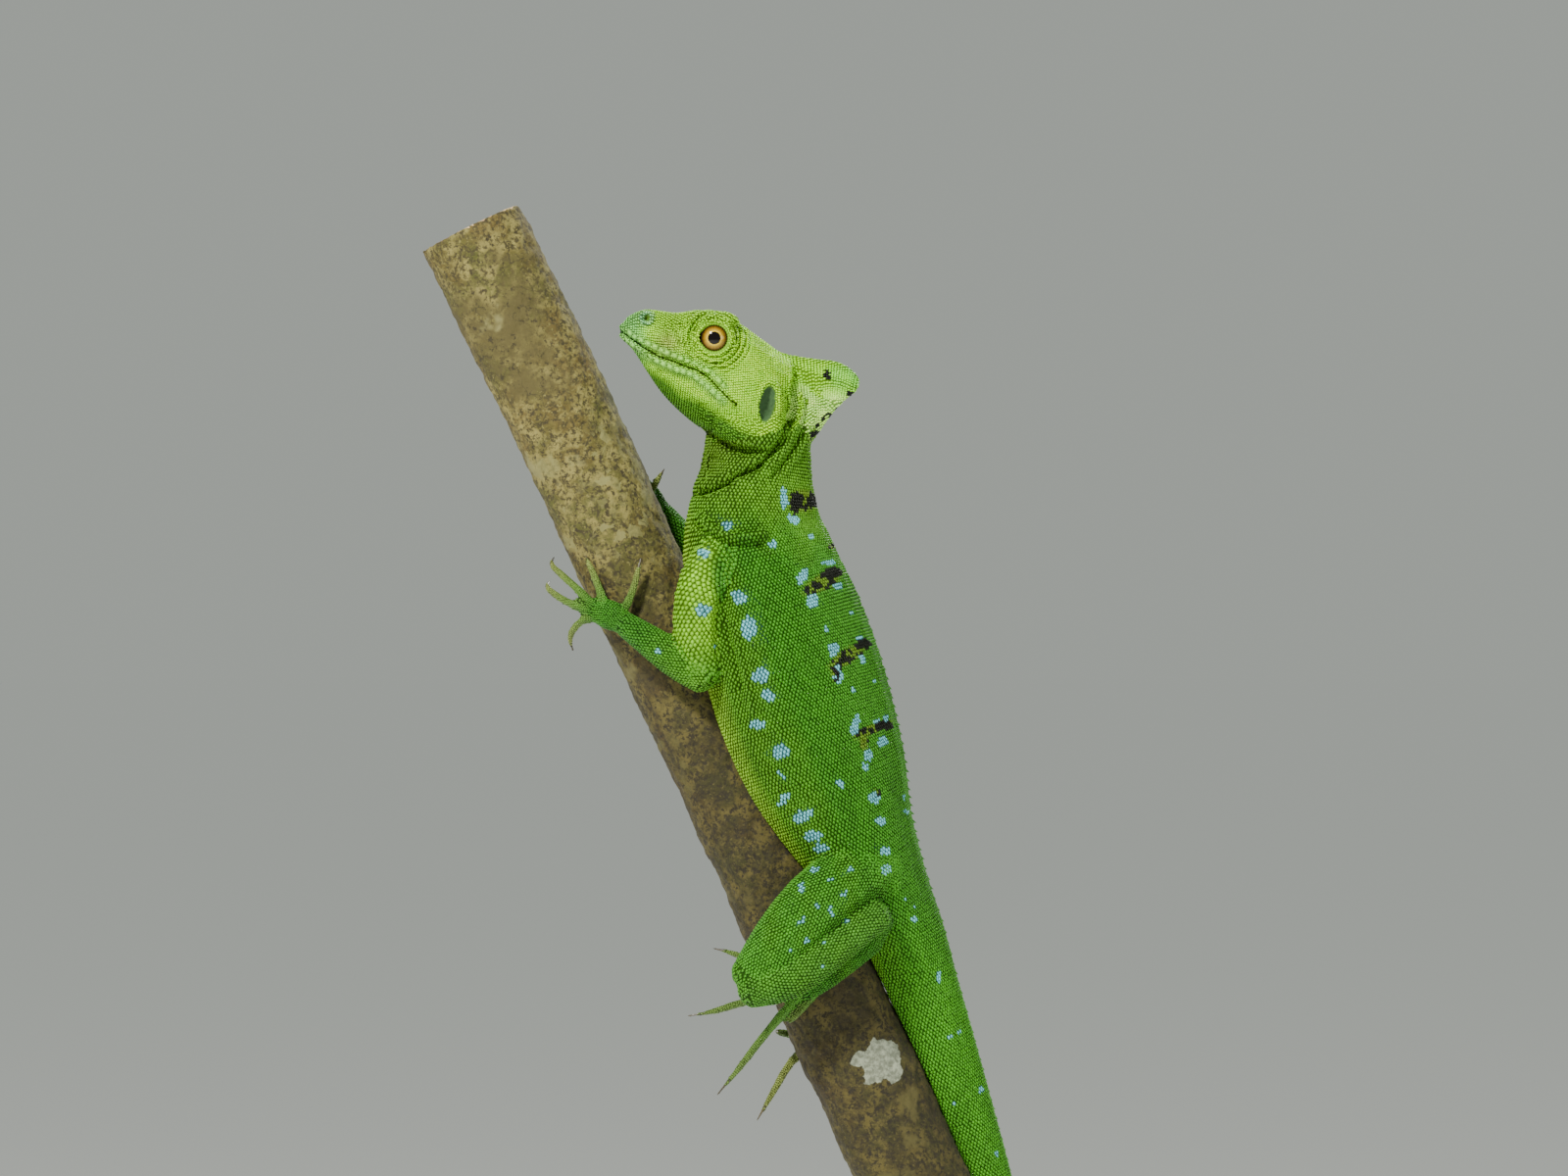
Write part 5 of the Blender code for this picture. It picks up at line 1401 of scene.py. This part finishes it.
def makeBark():
    bark = voxelPiece("bark", ["perch_branch"], barkForm["voxel"])
    points = readPoints(bark.data)
    low, high = points[points[:, 2].argmin()], points[points[:, 2].argmax()]
    run = unit((high - low)[None])[0]
    reach = (points - low) @ run
    ends = (reach < barkForm["cutEnd"]) | (reach > reach.max() - barkForm["cutEnd"])
    flatEnd = np.abs(readNormals(bark.data) @ run) > barkForm["endFacing"]
    points = relax(points, readEdges(bark.data), np.where(ends | flatEnd, 0, barkForm["smooth"]))
    writePoints(bark.data, points)
    normals = readNormals(bark.data)
    flatEnd = np.abs(normals @ run) > barkForm["endFacingRough"]
    wave = {name: ripple(points, *form) for name, form in barkWaves.items()}
    relief = barkForm["coarse"] * wave["broad"] + barkForm["grain"] * (wave["crumb"] + wave["smallCrumb"])
    pits = wave["pit"] + 0.6 * wave["smallPit"]
    relief -= barkForm["pits"] * np.clip(pits - barkForm["pitsAbove"], 0, 1)
    relief = np.clip(relief - barkForm["lower"], *barkForm["limits"]) * ~flatEnd
    grain = barkForm["endGrain"] * wave["endGrain"] * flatEnd
    points = points + normals * ((relief + grain) * mm)[:, None]
    writePoints(bark.data, points)
    bark.data.shade_smooth()
    bark.data.materials.append(barkMaterial())
    bark.data.materials.append(cutWoodMaterial())
    offset = points - axisOfBranch(points, reach)
    span = np.linalg.norm(offset - (offset @ run)[:, None] * run, axis=1)
    layer = bark.data.attributes.new("ringRadius", "FLOAT", "POINT")
    layer.data.foreach_set("value", span.astype(np.float32))
    for face in bark.data.polygons:
        if abs(face.normal.dot(Vector(run))) > barkForm["endFacing"]:
            face.material_index = 1
    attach(bark, "root")
    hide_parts("perch_branch")


def axisOfBranch(points, reach):    # the middle of the wood at each height along the branch
    count = barkForm["cells"]
    along = reach / reach.max() * count
    cells = np.clip(along.astype(int), 0, count - 1)
    middles = np.array([points[cells == k].mean(0) for k in range(count)])
    where = np.clip(along - 0.5, 0, count - 1)
    return np.stack([np.interp(where, np.arange(count), middles[:, k]) for k in range(3)], 1)


def warp(tree, place, scale, much):    # object coordinates pushed about by noise
    noise = noiseNode(tree, place, scale, 3.0, give="Color")
    return vectorNode(tree, "MULTIPLY_ADD", noise, (much, much, much), place)


def barkMaterial():
    made, tree, shader, place = newPaint("mottledBark")
    tint, noise = barkTints["ground"], {}
    for name, (scale, detail, rough, low, high, colour) in barkLayers.items():
        noise[name] = noiseNode(tree, place, scale, detail, rough)
        tint = mixNode(tree, stepNode(tree, noise[name], low, high), tint, colour)
    flakes = addNode(tree, "TexVoronoi", {"Vector": warp(tree, place, 300.0, 0.004), "Scale": 420.0},
                     feature="F1").outputs["Color"]
    flakeTone = addNode(tree, "SeparateColor", {"Color": flakes}).outputs["Red"]
    flaky = mathNode(tree, "MULTIPLY", stepNode(tree, flakeTone, 0.45, 0.95),
                     stepNode(tree, noise["blotch"], 0.50, 0.60))
    tint = mixNode(tree, flaky, tint, barkTints["flake"])
    cracks = addNode(tree, "TexVoronoi", {"Vector": warp(tree, place, 130.0, 0.006), "Scale": 190.0},
                     feature="DISTANCE_TO_EDGE").outputs["Distance"]
    broken = mathNode(tree, "MULTIPLY", stepNode(tree, cracks, 0.030, 0.0),
                      stepNode(tree, noise["middle"], 0.52, 0.40))
    tint = mixNode(tree, broken, tint, barkTints["crack"])
    height = addNode(tree, "SeparateXYZ", {"Vector": place}).outputs["Z"]
    # darker towards the bottom: partly the bark's own tone, partly painted shade
    shadeByHeight = mixNode(tree, stepNode(tree, height, barkForm["darkBelow"], barkForm["paleAbove"]),
                   barkTints["low"], barkTints["high"])
    tint = mixNode(tree, 1.0, tint, shadeByHeight, "MULTIPLY")
    x, z = fromPhoto(*barkForm["lichenPlace"])
    away = vectorNode(tree, "DISTANCE", place, inRow((x, -10.0, z)), give="Value")
    wavy = mathNode(tree, "MULTIPLY_ADD", noiseNode(tree, place, 260.0, 3.0, 0.5), 0.012, away)
    rim = barkForm["lichenSize"] * mm + 0.006
    crust = mixNode(tree, stepNode(tree, noise["fine"], 0.40, 0.62), barkTints["lichen"],
                    barkTints["lichenPale"])
    tint = mixNode(tree, stepNode(tree, wavy, rim + 0.0002, rim - 0.0002), tint, crust)
    setInputs(shader, {"Base Color": tint, "Roughness": 0.86,
                       "Normal": bumpNode(tree, noise["fine"], 0.8, 0.0004)})
    return made


def cutWoodMaterial():
    made, tree, shader, place = newPaint("cutWood")
    radius = attributeNode(tree, "ringRadius", "Fac")
    wavy = mathNode(tree, "MULTIPLY_ADD", noiseNode(tree, place, 160.0, 3.0), 0.0016, radius)
    wave = mathNode(tree, "SINE", mathNode(tree, "MULTIPLY", wavy, 5200.0))
    tint = mixNode(tree, stepNode(tree, wave, 0.1, 0.95), (0.52, 0.38, 0.20), (0.28, 0.17, 0.075))
    tint = mixNode(tree, stepNode(tree, radius, 0.0108, 0.0116), tint, (0.12, 0.085, 0.045))
    setInputs(shader, {"Base Color": tint, "Roughness": 0.75, "Normal": bumpNode(tree, wave, 0.4, 0.0002)})
    return made


makeBark()
print("bark made")


# The stand: a walnut base with an oiled finish, a brushed steel rod and a turned collar at its foot
standForm = {"grain": 48.0, "grainPull": 0.09, "pores": 900.0, "scratch": 2400.0,
             "collar": ((4.15, 0.0), (9.4, 0.0), (9.4, 1.1), (8.9, 1.6), (6.9, 1.9), (6.3, 2.5),
                        (6.3, 5.2), (5.8, 5.7), (4.15, 5.7)), "collarSteps": 72}


def pulled(tree, place, ways):          # object coordinates squeezed along chosen directions
    return vectorNode(tree, "MULTIPLY", place, ways)


def walnutMaterial():
    made, tree, shader, place = newPaint("oiledWalnut")
    rings = addNode(tree, "TexWave", {"Vector": pulled(tree, place, (standForm["grainPull"], 1.0, 0.6)),
                                      "Scale": standForm["grain"], "Distortion": 7.0, "Detail": 4.0,
                                      "Detail Scale": 1.6}, wave_type="BANDS", bands_direction="Y")
    pores = noiseNode(tree, pulled(tree, place, (0.05, 1.0, 1.0)), standForm["pores"], 4.0, 0.5)
    tint = mixNode(tree, rings.outputs["Fac"], (0.048, 0.024, 0.011), (0.098, 0.052, 0.025))
    tint = mixNode(tree, stepNode(tree, pores, 0.50, 0.36), tint, (0.018, 0.009, 0.005))
    setInputs(shader, {"Base Color": tint, "Coat Weight": 0.25, "Coat Roughness": 0.22,
                       "Roughness": stepNode(tree, pores, 1.4, 0.1),
                       "Normal": bumpNode(tree, pores, 0.25, 0.0002)})
    return made


def steelMaterial():
    made, tree, shader, place = newPaint("brushedSteel")
    scratch = noiseNode(tree, pulled(tree, place, (0.08, 0.08, 1.0)), standForm["scratch"], 5.0, 0.5)
    wear = noiseNode(tree, place, 60.0, 3.0)
    tint = mixNode(tree, scratch, (0.200, 0.200, 0.200), (0.370, 0.365, 0.355))
    tint = mixNode(tree, stepNode(tree, wear, 0.50, 0.80), tint, (0.230, 0.215, 0.195))
    setInputs(shader, {"Base Color": tint, "Metallic": 1.0, "Roughness": stepNode(tree, scratch, -0.3, 1.7),
                       "Normal": bumpNode(tree, scratch, 0.12, 0.0001)})
    return made


def cornersOf(name):                    # of the box round a CAD node
    piece = bpy.data.objects[name]
    return np.array([piece.matrix_world @ Vector(corner) for corner in piece.bound_box])


def makeCollar(steel):                  # a ring turned from a profile, on the base round the rod
    foot = cornersOf("stand_rod")
    middle = (foot[:, :2].min(0) + foot[:, :2].max(0)) / 2
    top = cornersOf("stand_base")[:, 2].max()
    mesh = bpy.data.meshes.new("stand_collar")
    profile = standForm["collar"]
    mesh.from_pydata([(middle[0] + r * mm, middle[1], top + z * mm) for r, z in profile],
                     [(k, (k + 1) % len(profile)) for k in range(len(profile))], [])
    collar = newObject("stand_collar", mesh)
    choose(collar)
    bpy.ops.object.mode_set(mode="EDIT")
    bpy.ops.mesh.select_all(action="SELECT")
    bpy.ops.mesh.spin(steps=standForm["collarSteps"], angle=2 * math.pi,
                      center=(middle[0], middle[1], top), axis=(0, 0, 1))
    bpy.ops.mesh.select_all(action="SELECT")
    bpy.ops.mesh.remove_doubles(threshold=0.00002)
    bpy.ops.mesh.normals_make_consistent(inside=False)
    bpy.ops.object.mode_set(mode="OBJECT")
    bpy.ops.object.shade_smooth_by_angle(angle=math.radians(28))
    collar.data.materials.append(steel)
    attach(collar, "root")


steel = steelMaterial()
for name, paint in (("stand_base", walnutMaterial()), ("stand_rod", steel)):
    bpy.data.objects[name].material_slots[0].material = paint
makeCollar(steel)
print("stand finished")


# The camera stands level, square to the branch, with the photograph's framing
cameraForm = {"distance": 1.6, "width": 0.352, "x": -0.0099, "z": 0.420}
# Lights: place, size, power and colour; all of them look at the middle of the animal
lightAim = Vector((0.0, 0.0, 0.38))
lights = {
    "keyLight": ((-0.75, -1.1, 1.65), 0.3, 66.0, (1.0, 0.96, 0.88)),
    "fillLight": ((1.5, -1.0, 0.6), 0.8, 8.0, (0.92, 0.97, 1.0)),
    "backLight": ((0.7, 1.1, 1.3), 0.5, 22.0, (1.0, 1.0, 0.96)),
}
# A plain pale floor that runs into a room of the same tone
studioForm = {"floor": 60.0, "floorTint": (0.995, 0.995, 0.995), "room": (0.36, 0.385, 0.355)}


def addCamera():
    data = bpy.data.cameras.new("camera")
    data.sensor_width = 36.0
    data.lens = data.sensor_width * cameraForm["distance"] / cameraForm["width"]
    data.clip_end = 50.0
    camera = newObject("camera", data)
    camera.location = (cameraForm["x"], -cameraForm["distance"], cameraForm["z"])
    camera.rotation_euler = (math.radians(90), 0.0, 0.0)
    bpy.context.scene.camera = camera


def addStudio():
    bpy.ops.object.select_all(action="DESELECT")
    bpy.ops.mesh.primitive_plane_add(size=studioForm["floor"])
    floor = bpy.context.object
    floor.name = "floor"
    paint, _, shader, _ = newPaint("floorPaint")
    setInputs(shader, {"Base Color": (*studioForm["floorTint"], 1.0), "Roughness": 0.9,
                       "Specular IOR Level": 0.0})
    floor.data.materials.append(paint)
    world = bpy.data.worlds.new("softRoom")
    world.use_nodes = True
    setInputs(world.node_tree.nodes["Background"], {"Color": (*studioForm["room"], 1.0), "Strength": 1.0})
    bpy.context.scene.world = world
    for name, (place, size, power, colour) in lights.items():
        data = bpy.data.lights.new(name, "AREA")
        data.shape, data.size, data.energy, data.color = "DISK", size, power, colour
        light = newObject(name, data)
        light.location = place
        light.rotation_euler = (lightAim - Vector(place)).to_track_quat("-Z", "Y").to_euler()


addCamera()
addStudio()
